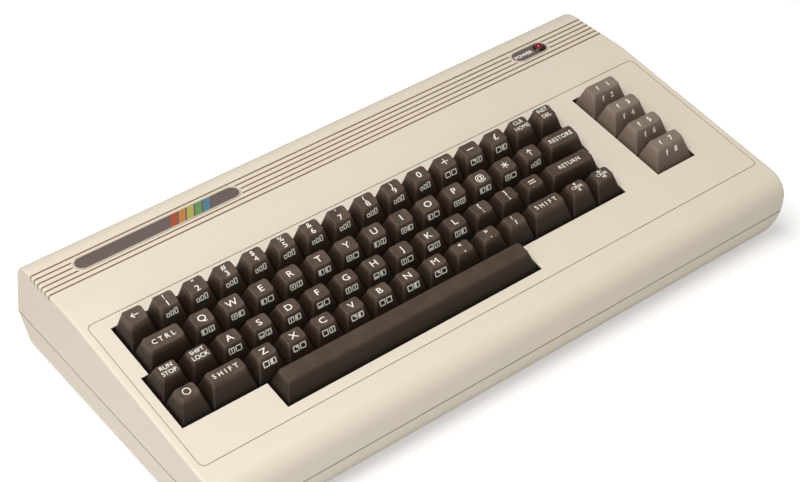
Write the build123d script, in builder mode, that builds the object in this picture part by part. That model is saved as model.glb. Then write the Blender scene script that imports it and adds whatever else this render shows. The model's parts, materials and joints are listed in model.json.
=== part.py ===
"""Wedge-shaped home computer with its keyboard built in, as separate pieces.

Millimetres. +X is to the right, -Y is the front edge and +Z is up. The origin lies on
the table, under the middle of the case.
"""

from build123d import *
from math import asin, cos, degrees, radians, sin, tan
import os

# ---------------------------------------------------------------- case
case_width = 404.0
case_depth = 213.0
foot_height = 3.0
seam_height = 24.5
wall = 2.8
side_edge_radius = 1.6
seam_chamfer = 0.35

deck_tilt = 8.0             # slope of the key deck, down to the front
deck_height = 64.5          # height of the deck at the rear edge of the keys
deck_rear = 16.5            # Y of that edge
nose_radius = 14.0
rear_strip_start = 38.5     # Y where the level rear strip meets the deck
rear_strip_tilt = 0.3
rear_strip_bend = 80.0
rear_top_inset = 12.0       # how far the top of the rear wall stands in from its foot
rear_top_radius = 15.0
front_bulge_height = 34.0   # height where the front stands furthest out
front_foot_inset = 10.0
rear_foot_inset = 6.0
floor_edge_radius = 3.0
side_foot_inset = 1.2
side_top_inset = 0.4

# ---------------------------------------------------------------- keys
key_pitch = 19.05
key_gap = 0.75
key_travel = 3.8
grid_left = -186.0          # X of the left end of the number row
opening_margin = 1.0
cap_wall = 1.4
cap_top_wall = 1.6
cap_skirt = 1.5             # how far a cap reaches below the deck
cap_side_inset = 3.6
cap_base_radius = 1.0
cap_top_radius = 2.2
cap_edge_radius = 0.55
cap_joint = 0.05            # between a cap's post and the plunger it is pushed on
cap_dish = 0.45
function_column = 17.2      # start of the function keys, in key pitches
function_width = 1.5

# Rows from the rear to the front: start, then each node with its key width and count.
key_rows = (
    (0.0, (("number_keys_left", 1.0, 7), ("number_keys_right", 1.0, 7),
           ("home_key", 1.0, 1), ("delete_key", 1.0, 1))),
    (0.0, (("control_key", 1.5, 1), ("upper_keys_left", 1.0, 6),
           ("upper_keys_right", 1.0, 7), ("restore_key", 1.5, 1))),
    (-0.25, (("stop_key", 1.0, 1), ("shift_lock_key", 1.0, 1), ("middle_keys_left", 1.0, 6),
             ("middle_keys_right", 1.0, 6), ("return_key", 2.0, 1))),
    (-0.25, (("command_key", 1.0, 1), ("left_shift_key", 1.5, 1), ("lower_keys_left", 1.0, 5),
             ("lower_keys_right", 1.0, 5), ("right_shift_key", 1.5, 1),
             ("cursor_vertical_key", 1.0, 1), ("cursor_horizontal_key", 1.0, 1))),
    (2.5, (("space_bar", 9.0, 1),)),
)
function_keys = ("function_key_1", "function_key_3", "function_key_5", "function_key_7")

# Cap shape of each row: rear inset, front inset, height at the rear and at the front of
# the finger face, above the deck.
cap_shapes = (
    (2.2, 6.7, 13.2, 12.0),
    (4.0, 5.2, 11.9, 10.8),
    (4.2, 5.6, 10.7, 10.4),
    (3.4, 6.8, 10.8, 11.0),
    (2.6, 6.0, 9.6, 9.4),
)
function_shape = (3.2, 7.0, 11.5, 11.0)

# ---------------------------------------------------------------- keyboard unit
stem_radius = 2.6
stem_clearance = 0.3
collar_radius = 4.4
collar_thickness = 1.2
sleeve_wall = 1.4
sleeve_length = 5.0
spring_wire = 0.5
spring_radius = 3.75
spring_turns = 5
spring_link = 1.2           # width of the joint from one turn to the next
spring_end_gap = 0.3
frame_drop = 8.0            # top of the frame plate below the deck
frame_plate = 2.0
frame_margin = 5.5          # flange beside the keys
frame_rear_margin = 9.0
frame_front_margin = 6.0
contact_gap = 0.2           # left between a pressed stem and the circuit board
keyboard_board_thickness = 1.6
tip_drop = 17.0             # bottom of a stem at rest, below the deck
rim_thickness = 1.7

guide_reach = 3.6           # space bar's outer stems, in key pitches from its middle
wire_radius = 0.75
wire_arm = 10.0
wire_reach = 57.0
wire_end = 4.5
wire_bend = 1.6
wire_run_offset = -5.6
wire_run_drop = 2.1
keyboard_screw_bite = 6.0
driver_clearance = 1.0      # around a screw's head, for the driver
wire_pin_clearance = 0.1
hook_clearance = 0.4
hook_wall = 0.8
hook_height = 3.8
hook_reach = 48.0
lug_thickness = 2.0
lug_wall = 0.9

# ---------------------------------------------------------------- screws
small_screw = (2.6, 1.4, 1.1)       # head radius, head height, shank radius
board_screw = (3.0, 1.8, 1.4)
case_screw = (3.6, 2.4, 1.6)
screw_clearance = 0.1
cross_reach = 1.3           # length of the driver's cross, in head radii
cross_width = 0.25
boss_wall = 1.9

case_screw_bite = 9.0       # length of the screw's hold in the upper shell
tab_width = 14.0
tab_thickness = 1.6
tab_reach = 7.0             # how far a closing tab hangs below the seam
tab_clearance = 0.9
tab_places_left = (-40.0, 60.0)
tab_places_right = (-66.0, 92.0)
screw_recess = 2.0          # how deep the case screws' heads sit
screw_recess_margin = 0.5
foot_clearance = 0.1

# ---------------------------------------------------------------- rear strip
groove_count = 6
groove_pitch = 4.08
groove_width = 1.3
groove_depth = 1.2
groove_first = 58.0         # Y of the groove nearest the keys
groove_side_drop = 3.4
badge_length = 109.4
badge_width = 11.6
badge_thickness = 1.2
badge_rise = 0.35
badge_pad = 0.9             # plain band of the case around a badge
badge_clearance = 0.15
badge_rim = 0.8
badge_field_depth = 0.25
badge_x = -123.8
power_badge_length = 27.6
power_badge_x = 151.4
badge_groove = 3            # the badges sit on this groove, counted from the rear
led_radius = 2.8
led_offset = 8.0
led_holder_radius = 3.9
led_holder_rise = 1.0
led_holder_depth = 9.0
led_dome_rise = 3.2
led_clearance = 0.1

# ---------------------------------------------------------------- deck outline groove
panel_left = 11.3           # beyond the keys' left end
panel_right = 27.1          # beyond the function keys
panel_rear = 9.4
panel_front = 103.7
panel_line = 0.5
panel_line_depth = 0.45
panel_corner = 3.5

# ---------------------------------------------------------------- main board and ports
board_thickness = 1.6
board_standoff = 6.6
board_left = -186.0
board_right = 190.0
board_front = -50.0
board_rear = 95.0
port_margin = 1.6
din_size = 18.0
din_height = 20.0
din_depth = 14.0
din_bore = 7.1
din_bore_depth = 7.0
din_pins = 5
din_pin_circle = 4.2
din_pin_radius = 0.8
din_pin_depth = 4.0
din_face = 102.2            # Y of the rear sockets' faces
serial_x = 22.0
video_x = 50.0
modulator_x = 92.0
modulator_width = 44.0
modulator_depth = 62.0
modulator_height = 21.0
modulator_face = 97.0
barrel_radius = 4.15
barrel_bore = 2.2
barrel_length = 8.5
barrel_x = 8.0              # from the middle of the modulator
barrel_margin = 3.3         # of the case's opening around the barrel
channel_x = -11.0
channel_travel = 3.0
channel_knob = 3.4
channel_rise = 2.4
channel_shoe = 5.4          # wider than the slot, behind the sheet
channel_clearance = 0.3
modulator_sheet = 0.8
cartridge_x = 150.0
cartridge_width = 60.0
cartridge_height = 12.0
cartridge_lift = 5.0
cartridge_depth = 14.0
cartridge_face = 90.0
cartridge_slot = 2.2
cartridge_slot_depth = 9.8
user_port_x = -98.0
user_port_width = 50.0
tape_port_x = -32.0
tape_port_width = 24.0
edge_tab_reach = 101.0
edge_port_below = 5.4
edge_port_above = 7.0
control_port_places = (-28.0, 10.0)
control_port_width = 31.0
control_port_height = 12.5
control_shell_width = 18.6
control_shell_height = 9.6
control_shell_wall = 0.8
control_shell_length = 7.0
control_flange_face = 193.0
control_pin_length = 3.0
control_pin_radius = 0.5
control_pin_row = 2.77
control_flange = 1.0
control_block_depth = 14.0
control_shell_corner = 2.0
control_shell_slant = 1.2
switch_y = 44.0
switch_length = 21.0
switch_height = 14.0
switch_depth = 16.0
switch_face = 198.5
switch_bezel = 1.2
rocker_swing = 16.0
rocker_clearance = 0.35
rocker_lip = 3.6            # from the pivot to the ends of the pressed face
rocker_dip = 2.0            # and to its middle
rocker_half = 7.2
rocker_back = 4.0
rocker_back_half = 5.0
rocker_width = 8.0
rocker_pin_radius = 1.2
rocker_pin_length = 1.5
rocker_pivot_depth = 1.5
inlet_y = 72.0
inlet_face = 197.5

# ---------------------------------------------------------------- things on the board
dip_height = 4.6
# Chips: middle X, middle Y, length, width.
chips = (
    (-142.0, 42.0, 52.0, 14.0), (-82.0, 42.0, 52.0, 14.0), (-22.0, 42.0, 52.0, 14.0),
    (-142.0, 12.0, 52.0, 14.0), (-82.0, 12.0, 52.0, 14.0), (-22.0, 12.0, 36.0, 14.0),
    (30.0, 12.0, 36.0, 14.0), (34.0, 42.0, 32.0, 14.0),
)
memory_chips = (-150.0, -14.0, 24.0, 8)     # first X, Y, pitch, count
memory_size = (20.0, 7.0)
# Capacitors: X, Y, radius, height.
cans = (
    (126.0, -34.0, 8.0, 14.0), (148.0, -34.0, 6.5, 13.0), (130.0, -8.0, 5.0, 12.0),
    (146.0, -8.0, 5.0, 12.0), (64.0, 60.0, 4.0, 11.0), (60.0, -40.0, 4.0, 11.0),
    (-177.0, 26.0, 4.0, 11.0),
)
can_edge_radius = 0.8
fuse_place = (140.0, 24.0)
fuse_length = 20.0
fuse_radius = 2.6
fuse_clip_width = 5.0
fuse_clip_height = 7.5
fuse_clip_wall = 1.0
fuse_clip_mouth = 4.3       # opening of a clip, narrower than the fuse
fuse_clearance = 0.1
heat_sink_place = (88.0, -32.0)
heat_sink_length = 44.0
heat_sink_height = 15.0
heat_sink_base = 2.0
heat_sink_fins = 5
heat_sink_pitch = 4.0

keyboard_plug_x = -52.7
keyboard_plug_y = -38.0
keyboard_plug_length = 52.0
keyboard_plug_height = 8.0
plug_width = 5.0
keyboard_outlet_y = -20.0   # on the deck plane
cable_thickness = 1.0
cable_margin = 2.0
cable_bend = 4.0
cable_seat_gap = 0.3        # between the cable's sloping end and its outlet
led_cable_slack = 0.3       # part of the lead's height that runs upright at each end
led_plug_y = 46.0
led_plug_length = 8.0
led_leg_radius = 0.3
led_leg_length = 6.0
led_leg_gap = 1.27
led_body_length = 5.0
led_lip = 0.9

# ---------------------------------------------------------------- small fittings
rubber_radius = 7.0
foot_recess = 0.6
foot_x = 175.0
foot_front = -76.0
foot_rear = 82.0
vent_fields = (-88.0, 84.0)
vent_width = 2.4
vent_length = 34.0
vent_pitch = 7.0
vent_count = 14
vent_rows = (-14.0, 34.0)

# ================================================================ worked-out places
case_front = -case_depth / 2
case_rear = case_depth / 2
floor_top = foot_height + wall
board_bottom = floor_top + board_standoff
board_top = board_bottom + board_thickness
deck_normal = (0.0, -sin(radians(deck_tilt)), cos(radians(deck_tilt)))
deck_plane = Plane(origin=(0, deck_rear, deck_height), x_dir=(1, 0, 0), z_dir=deck_normal)
strip_start_height = deck_height + (rear_strip_start - deck_rear) * tan(radians(deck_tilt))
front_arc_height = front_bulge_height - foot_height
front_arc_radius = (front_arc_height ** 2 + front_foot_inset ** 2) / (2 * front_foot_inset)
rear_top_y = case_rear - rear_top_inset
rear_top_height = strip_start_height + (rear_top_y - rear_strip_start) * tan(radians(rear_strip_tilt))
strip_plane = Plane(
    origin=(0, rear_strip_start, strip_start_height), x_dir=(1, 0, 0),
    z_dir=(0.0, -sin(radians(rear_strip_tilt)), cos(radians(rear_strip_tilt))),
)
groove_last = groove_first + (groove_count - 1) * groove_pitch
badge_y = groove_last - (badge_groove - 1) * groove_pitch
keyboard_board_drop = tip_drop + key_travel + contact_gap
collar_drop = cap_skirt
spring_length = frame_drop - collar_drop - 2 * spring_end_gap
wire_pin_drop = wire_run_drop + key_travel / 2
wire_pin_offset = wire_run_offset + (wire_arm ** 2 - key_travel ** 2 / 4) ** 0.5
bar_start = key_rows[-1][0]
bar_width = key_rows[-1][1][0][1]
row_count = len(key_rows)
function_rows = len(function_keys)


def deck_x(pitches):
    """X on the deck of a place counted in key pitches from the number row's left end."""
    return grid_left + pitches * key_pitch


def row_y(row):
    """Y on the deck plane of the middle of a row, where row 0 is the number row."""
    return -(row + 0.5) * key_pitch


def key_places():
    """List of (node, row, width in pitches, x, y) for every key."""
    places = []
    for row, (start, groups) in enumerate(key_rows):
        left = start
        for node, width, count in groups:
            for _ in range(count):
                places.append((node, row, width, deck_x(left + width / 2), row_y(row)))
                left += width
    for row, node in enumerate(function_keys):
        middle = deck_x(function_column + function_width / 2)
        places.append((node, row, function_width, middle, row_y(row)))
    return places


def row_extent(row):
    """Left and right ends of a row on the deck."""
    start, groups = key_rows[row]
    return deck_x(start), deck_x(start + sum(width * count for _, width, count in groups))


keys = key_places()
keys_left = min(row_extent(row)[0] for row in range(row_count))
keys_right = deck_x(function_column + function_width)
frame_left = keys_left - frame_margin
frame_right = keys_right + frame_margin
frame_rear = frame_rear_margin
frame_front = -(row_count * key_pitch + frame_front_margin)
flange_rear_y = frame_rear - boss_wall - small_screw[0]
flange_front_y = -(function_rows * key_pitch + opening_margin + boss_wall + small_screw[0])
frame_screw_places = [(deck_x(at), flange_rear_y) for at in (0.5, 6.0, 11.5, 17.95)]
frame_screw_places += [(deck_x(at), flange_front_y) for at in (0.6, 13.5, 17.95)]
front_post_y = frame_front + boss_wall + small_screw[0]
board_post_places = [(deck_x(at), flange_rear_y) for at in (3.0, 8.5, 14.2)]
board_post_places += [(deck_x(at), front_post_y) for at in (1.0, 7.0, 13.5)]
guide_places = [
    (deck_x(bar_start + bar_width / 2) + side * guide_reach * key_pitch, row_y(row_count - 1))
    for side in (-1, 1)
]

standoff_places = [(x, y) for x in (-170.0, -5.0, 172.0) for y in (-40.0, 68.0)]
case_screw_places = [(x, case_front + 15.5) for x in (-150.0, 0.0, 150.0)]
foot_places = [(x, y) for x in (-foot_x, foot_x) for y in (foot_front, foot_rear)]

lamp_x = power_badge_x + led_offset
fuse_height = board_top + fuse_clip_height - fuse_radius
rocker_sweep = (rocker_lip ** 2 + rocker_half ** 2) ** 0.5

# Port cut-outs: middle, width, lowest and highest point.
din_middle = board_top + din_height / 2
rear_ports = (
    (serial_x, din_size + 2 * port_margin, board_top, board_top + din_height + port_margin),
    (video_x, din_size + 2 * port_margin, board_top, board_top + din_height + port_margin),
    (modulator_x + barrel_x, 2 * (barrel_radius + barrel_margin),
     din_middle - barrel_radius - barrel_margin, din_middle + barrel_radius + barrel_margin),
    (modulator_x + channel_x, 4 * channel_knob, din_middle - channel_knob,
     din_middle + channel_knob),
    (cartridge_x, cartridge_width + 4 * port_margin, board_top + cartridge_lift - port_margin,
     board_top + cartridge_lift + cartridge_height + port_margin),
    (user_port_x, user_port_width + 2 * port_margin, board_bottom - edge_port_below,
     board_top + edge_port_above),
    (tape_port_x, tape_port_width + 2 * port_margin, board_bottom - edge_port_below,
     board_top + edge_port_above),
)
side_ports = tuple(
    (y, control_port_width + port_margin, board_top - port_margin / 2,
     board_top + control_port_height + port_margin) for y in control_port_places
) + (
    (switch_y, switch_length + port_margin, board_top - port_margin / 2,
     board_top + switch_height + port_margin),
    (inlet_y, din_size + 2 * port_margin, board_top, board_top + din_height + port_margin),
)


def strip_height(y):
    """Height of the level rear strip at a given Y."""
    return strip_start_height + (y - rear_strip_start) * tan(radians(rear_strip_tilt))


def save(piece, name):
    """Label a finished piece and write its STEP file."""
    piece.part.label = name
    export_step(piece.part, f"parts/{name}.step")


# ================================================================ case
def case_body(inset):
    """Closed body of the case, taken in by inset on every side."""
    bulge = (case_front, front_bulge_height)
    seam_rear = (case_rear, seam_height)
    nose = (case_front, deck_height + (case_front - deck_rear) * tan(radians(deck_tilt)))
    bend = (rear_strip_start, strip_start_height)
    rear_top = (rear_top_y, rear_top_height)
    floor_front = (case_front + front_foot_inset, foot_height)
    floor_rear = (case_rear - rear_foot_inset, foot_height)
    half_width = case_width / 2
    with BuildPart() as body:
        with BuildSketch(Plane.YZ) as profile:
            with BuildLine():
                Polyline(bulge, nose, bend, rear_top, seam_rear, floor_rear, floor_front)
                RadiusArc(floor_front, bulge, front_arc_radius)
            make_face()
            for corner, radius in (
                (nose, nose_radius), (bend, rear_strip_bend), (rear_top, rear_top_radius),
                (floor_front, floor_edge_radius), (floor_rear, floor_edge_radius),
            ):
                fillet(profile.vertices().sort_by_distance(corner)[0], radius)
            if inset:
                offset(amount=-inset, mode=Mode.REPLACE)
        extrude(amount=half_width, both=True)
        with BuildSketch(Plane.XZ) as outline:
            with BuildLine():
                top_half = half_width - side_top_inset
                foot_half = half_width - side_foot_inset
                Polyline(
                    (-foot_half, foot_height), (-half_width, seam_height), (-top_half, rear_top_height),
                    (top_half, rear_top_height), (half_width, seam_height), (foot_half, foot_height),
                    close=True,
                )
            make_face()
            if inset:
                offset(amount=-inset, mode=Mode.REPLACE)
        extrude(amount=case_depth, both=True, mode=Mode.INTERSECT)
    return body.part


def boss_columns(places, radius, plane, low, high):
    """Round columns on a plane, from low to high along its normal."""
    with BuildPart() as columns:
        with BuildSketch(plane.offset(low)):
            with Locations(*places):
                Circle(radius)
        extrude(amount=high - low)
    return columns.part


def cut_ports(lowest, highest):
    """Blocks that cut the port openings out of a shell, kept between two heights."""
    with BuildPart() as cutters:
        for middle, width, low, high in rear_ports:
            bottom, top = max(low, lowest), min(high, highest)
            if top > bottom:
                with Locations((middle, case_rear - rear_foot_inset / 2, (bottom + top) / 2)):
                    Box(width, 2 * wall + rear_foot_inset, top - bottom)
        for middle, width, low, high in side_ports:
            bottom, top = max(low, lowest), min(high, highest)
            if top > bottom:
                with Locations((case_width / 2, middle, (bottom + top) / 2)):
                    Box(4 * wall, width, top - bottom)
    return cutters.part


def groove_cutters():
    """Grooves along the rear strip, over its ends, broken at the two badges."""
    end = case_width / 2
    with BuildPart() as cutters:
        with BuildSketch(Plane.YZ):
            for index in range(groove_count):
                y = groove_first + index * groove_pitch
                with Locations((y, strip_height(y))):
                    SlotOverall(2 * groove_depth, groove_width, rotation=90)
        extrude(amount=end + groove_depth, both=True)
        for index in range(groove_count):
            y = groove_first + index * groove_pitch
            for side in (-1, 1):
                with Locations((side * end, y, strip_height(y) - groove_side_drop / 2)):
                    Box(2 * groove_depth, groove_width, groove_side_drop)
        with BuildSketch(strip_plane):
            local_y = badge_y - rear_strip_start
            for x, length in ((badge_x, badge_length), (power_badge_x, power_badge_length)):
                with Locations((x, local_y)):
                    SlotOverall(length + 2 * badge_pad, badge_width + 2 * badge_pad)
        extrude(amount=2 * groove_depth, both=True, mode=Mode.SUBTRACT)
    return cutters.part


def make_top_case(body, cavity):
    """Upper shell: key deck, grooved rear strip, nose, badge seats and port notches."""
    deck_bosses = boss_columns(
        frame_screw_places, small_screw[2] + boss_wall, deck_plane, -frame_drop, wall / 2)
    screw_bosses = boss_columns(
        case_screw_places, case_screw[2] + boss_wall, Plane.XY, seam_height, deck_height)
    with BuildPart() as hollow:
        add(cavity)
        add(deck_bosses, mode=Mode.SUBTRACT)
        add(screw_bosses, mode=Mode.SUBTRACT)
    with BuildPart() as top_case:
        add(body)
        split(bisect_by=Plane.XY.offset(seam_height), keep=Keep.TOP)
        for side in (0, -1):
            end_face = top_case.faces().sort_by(Axis.X)[side]
            rounded = end_face.edges().filter_by(lambda edge: edge.center().Z > seam_height + 1)
            fillet(rounded, side_edge_radius)
        chamfer(top_case.faces().sort_by(Axis.Z)[0].edges(), seam_chamfer)
        add(hollow.part, mode=Mode.SUBTRACT)
        with BuildSketch(deck_plane):
            for row in range(row_count):
                left, right = row_extent(row)
                with Locations(((left + right) / 2, row_y(row))):
                    Rectangle(right - left + 2 * opening_margin, key_pitch + 2 * opening_margin)
            column_left = deck_x(function_column)
            column_height = function_rows * key_pitch
            with Locations(((column_left + keys_right) / 2, -column_height / 2)):
                Rectangle(keys_right - column_left + 2 * opening_margin, column_height + 2 * opening_margin)
        extrude(amount=2 * wall, both=True, mode=Mode.SUBTRACT)
        with BuildSketch(deck_plane.offset(-panel_line_depth)):
            left = deck_x(0) - panel_left
            right = keys_right + panel_right
            middle = ((left + right) / 2, (panel_rear - panel_front) / 2)
            with Locations(middle):
                RectangleRounded(right - left, panel_rear + panel_front, panel_corner)
                RectangleRounded(
                    right - left - 2 * panel_line, panel_rear + panel_front - 2 * panel_line,
                    panel_corner - panel_line, mode=Mode.SUBTRACT)
        extrude(amount=wall, mode=Mode.SUBTRACT)
        add(groove_cutters(), mode=Mode.SUBTRACT)
        with BuildSketch(strip_plane.offset(badge_rise - badge_thickness)):
            for x, length in ((badge_x, badge_length), (power_badge_x, power_badge_length)):
                with Locations((x, badge_y - rear_strip_start)):
                    SlotOverall(length + 2 * badge_clearance, badge_width + 2 * badge_clearance)
        extrude(amount=wall, mode=Mode.SUBTRACT)
        with BuildSketch(strip_plane.offset(-2 * wall)):
            with Locations((power_badge_x + led_offset, badge_y - rear_strip_start)):
                Circle(led_holder_radius + badge_clearance)
        extrude(amount=2 * wall, mode=Mode.SUBTRACT)
        with BuildSketch(deck_plane.offset(-frame_drop)):
            with Locations(*frame_screw_places):
                Circle(small_screw[2] + screw_clearance)
        extrude(amount=frame_drop - wall, mode=Mode.SUBTRACT)
        with BuildSketch(Plane.XY.offset(seam_height)):
            with Locations(*case_screw_places):
                Circle(case_screw[2] + screw_clearance)
        extrude(amount=case_screw_bite, mode=Mode.SUBTRACT)
        add(cut_ports(seam_height - wall, deck_height), mode=Mode.SUBTRACT)
        for side, places in ((-1, tab_places_left), (1, tab_places_right)):
            for y in places:
                edge = case_width / 2 - wall - tab_clearance
                with Locations((side * (edge - side_top_inset - tab_thickness / 2), y, seam_height)):
                    Box(tab_thickness, tab_width, 2 * tab_reach)
                with Locations((side * (edge - tab_thickness / 2), y, seam_height + tab_reach)):
                    Box(tab_thickness + 2 * tab_clearance + side_top_inset, tab_width, tab_reach / 2)
    return top_case


def make_bottom_case(body, cavity):
    """Lower shell: floor, board standoffs, screw bosses, vents and port notches."""
    standoffs = boss_columns(
        standoff_places, board_screw[2] + boss_wall, Plane.XY, foot_height, board_bottom)
    screw_bosses = boss_columns(
        case_screw_places, case_screw[0] + screw_recess_margin + boss_wall, Plane.XY,
        foot_height, seam_height)
    with BuildPart() as hollow:
        add(cavity)
        add(standoffs, mode=Mode.SUBTRACT)
        add(screw_bosses, mode=Mode.SUBTRACT)
    with BuildPart() as bottom_case:
        add(body)
        split(bisect_by=Plane.XY.offset(seam_height), keep=Keep.BOTTOM)
        for side in (0, -1):
            end_face = bottom_case.faces().sort_by(Axis.X)[side]
            rounded = end_face.edges().filter_by(lambda edge: edge.center().Z < seam_height - 1)
            fillet(rounded, side_edge_radius)
        chamfer(bottom_case.faces().sort_by(Axis.Z)[-1].edges(), seam_chamfer)
        add(hollow.part, mode=Mode.SUBTRACT)
        with BuildSketch(Plane.XY.offset(foot_height)):
            with Locations(*case_screw_places):
                Circle(case_screw[0] + screw_recess_margin)
        extrude(amount=screw_recess + case_screw[1], mode=Mode.SUBTRACT)
        with BuildSketch(Plane.XY.offset(foot_height)):
            with Locations(*case_screw_places):
                Circle(case_screw[2] + screw_clearance)
        extrude(amount=seam_height - foot_height, mode=Mode.SUBTRACT)
        with BuildSketch(Plane.XY.offset(board_bottom - board_standoff)):
            with Locations(*standoff_places):
                Circle(board_screw[2] + screw_clearance)
        extrude(amount=board_standoff, mode=Mode.SUBTRACT)
        with BuildSketch(Plane.XY.offset(foot_height)):
            with Locations(*foot_places):
                Circle(rubber_radius + foot_clearance)
        extrude(amount=foot_recess, mode=Mode.SUBTRACT)
        with BuildSketch(Plane.XY.offset(foot_height)):
            for x in vent_fields:
                for y in vent_rows:
                    with Locations((x, y)):
                        with GridLocations(vent_pitch, 0, vent_count, 1):
                            SlotOverall(vent_length, vent_width, rotation=90)
        extrude(amount=wall, mode=Mode.SUBTRACT)
        add(cut_ports(foot_height, seam_height + wall), mode=Mode.SUBTRACT)
    return bottom_case


def make_screws(size, length, places, seat, head_below=True):
    """Cross-headed screws through a seat plane: heads under it, or on it."""
    head_radius, head_height, shank_radius = size
    facing = -seat.z_dir if head_below else seat.z_dir
    head_plane = Plane(origin=seat.origin, x_dir=seat.x_dir, z_dir=facing)
    with BuildPart() as screw:
        with BuildSketch(head_plane):
            Circle(head_radius)
        extrude(amount=head_height)
        fillet(screw.edges().sort_by_distance(head_plane.origin)[-1], head_height / 3)
        with BuildSketch(head_plane.offset(head_height / 2)):
            for angle in (0, 90):
                Rectangle(cross_reach * head_radius, cross_width * head_radius, rotation=angle)
        extrude(amount=head_height, mode=Mode.SUBTRACT)
        with BuildSketch(head_plane.offset(-length)):
            Circle(shank_radius)
        extrude(amount=length)
    with BuildPart() as screws:
        for x, y in places:
            add(screw.part.moved(Location(seat.from_local_coords((x, y, 0)) - seat.origin)))
    return screws


# ================================================================ badges and power lamp
def make_badge(x, length, lamp_hole):
    """Plate with a raised rim, in its seat on the rear strip."""
    with BuildPart() as badge:
        local = (x, badge_y - rear_strip_start)
        with BuildSketch(strip_plane.offset(badge_rise - badge_thickness)):
            with Locations(local):
                SlotOverall(length, badge_width)
        extrude(amount=badge_thickness)
        with BuildSketch(strip_plane.offset(badge_rise - badge_field_depth)):
            with Locations(local):
                SlotOverall(length - 2 * badge_rim, badge_width - 2 * badge_rim)
        extrude(amount=badge_thickness, mode=Mode.SUBTRACT)
        if lamp_hole:
            with BuildSketch(strip_plane):
                with Locations((x + led_offset, badge_y - rear_strip_start)):
                    Circle(led_holder_radius + badge_clearance)
            extrude(amount=2 * badge_thickness, both=True, mode=Mode.SUBTRACT)
    return badge


lamp_plane = Plane(
    origin=strip_plane.from_local_coords((power_badge_x + led_offset, badge_y - rear_strip_start, 0)),
    x_dir=(1, 0, 0), z_dir=strip_plane.z_dir)


def make_led_holder():
    """Black collar that carries the power lamp in the case."""
    bore = led_radius + led_clearance
    with BuildPart() as holder:
        with BuildSketch(lamp_plane.offset(-led_holder_depth)):
            Circle(led_holder_radius)
            Circle(bore - led_lip, mode=Mode.SUBTRACT)
        extrude(amount=led_lip)
        with BuildSketch(lamp_plane.offset(led_lip - led_holder_depth)):
            Circle(led_holder_radius)
            Circle(bore, mode=Mode.SUBTRACT)
        extrude(amount=led_holder_depth - led_lip + led_holder_rise)
        top_edge = holder.faces().sort_by(Axis.Z)[-1].outer_wire().edges()
        chamfer(top_edge, led_holder_rise / 2)
    return holder


def make_power_led():
    """Domed lamp on its two legs."""
    seat = led_lip - led_holder_depth
    with BuildPart(lamp_plane) as led:
        with BuildSketch(lamp_plane.offset(seat)):
            Circle(led_radius)
        extrude(amount=led_dome_rise - led_radius - seat)
        with Locations((0, 0, led_dome_rise - led_radius)):
            Sphere(led_radius)
        with BuildSketch(lamp_plane.offset(seat - led_leg_length)):
            with GridLocations(2 * led_leg_gap, 0, 2, 1):
                Circle(led_leg_radius)
        extrude(amount=led_leg_length)
    return led


def make_ribbon(points, x, width):
    """Flat cable along a path in the plane X = x."""
    with BuildPart() as ribbon:
        with BuildSketch(Plane.YZ.offset(x)):
            with BuildLine():
                FilletPolyline(*points, radius=cable_bend)
            trace(line_width=cable_thickness)
        extrude(amount=width / 2, both=True)
    return ribbon


# ================================================================ keys
def make_cap(width_pitches, shape):
    """One key cap with its inner post, standing over the origin of the deck plane."""
    rear_inset, front_inset, rear_rise, front_rise = shape
    width = width_pitches * key_pitch - key_gap
    depth = key_pitch - key_gap
    top_width = width_pitches * key_pitch - 2 * cap_side_inset
    face_run = depth - rear_inset - front_inset
    face_tilt = degrees(asin((rear_rise - front_rise) / face_run))
    face_middle = (front_inset - rear_inset) / 2
    middle_rise = (rear_rise + front_rise) / 2
    face_plane = Plane(
        origin=(0, face_middle, middle_rise), x_dir=(1, 0, 0),
        z_dir=(0, -sin(radians(face_tilt)), cos(radians(face_tilt))))
    dish_half = top_width / 2 + cap_edge_radius
    dish_radius = (dish_half ** 2 + cap_dish ** 2) / (2 * cap_dish)
    with BuildPart() as cap:
        with BuildSketch(Plane.XY.offset(-cap_skirt)):
            RectangleRounded(width, depth, cap_base_radius)
        with BuildSketch(face_plane):
            RectangleRounded(top_width, face_run, cap_top_radius)
        loft()
        if width_pitches < 3:
            dish_end = Plane(face_plane.origin, x_dir=(1, 0, 0), z_dir=-face_plane.y_dir)
            with BuildSketch(dish_end.offset(-key_pitch)):
                with Locations((0, dish_radius - cap_dish)):
                    Circle(dish_radius)
            extrude(amount=2 * key_pitch, mode=Mode.SUBTRACT)
        finger_face = cap.faces().sort_by_distance(face_plane.origin)[0]
        fillet(finger_face.outer_wire().edges(), cap_edge_radius)
        with BuildSketch(Plane.XY.offset(-cap_skirt)):
            Rectangle(width - 2 * cap_wall, depth - 2 * cap_wall)
        with BuildSketch(face_plane.offset(-cap_top_wall - cap_dish)):
            Rectangle(top_width - 2 * cap_wall, face_run - 2 * cap_wall)
        loft(mode=Mode.SUBTRACT)
        post_foot = collar_thickness - collar_drop + cap_joint
        with BuildSketch(Plane.XY.offset(post_foot)):
            for x in post_offsets(width_pitches):
                with Locations((x, 0)):
                    Circle(stem_radius)
        extrude(amount=front_rise - cap_dish - cap_top_wall / 2 - post_foot)
    return cap.part


def post_offsets(width_pitches):
    """X of the posts under a cap, from its middle: three under the long bar, else one."""
    if width_pitches < 3:
        return (0,)
    return (-guide_reach * key_pitch, 0, guide_reach * key_pitch)


def make_plunger():
    """Stem with the collar that the spring pushes up, at the origin of the deck plane."""
    with BuildPart() as plunger:
        with BuildSketch(Plane.XY.offset(-collar_drop)):
            Circle(collar_radius)
        extrude(amount=collar_thickness)
        with BuildSketch(Plane.XY.offset(-tip_drop)):
            Circle(stem_radius)
        extrude(amount=tip_drop - collar_drop)
    return plunger.part


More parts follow.
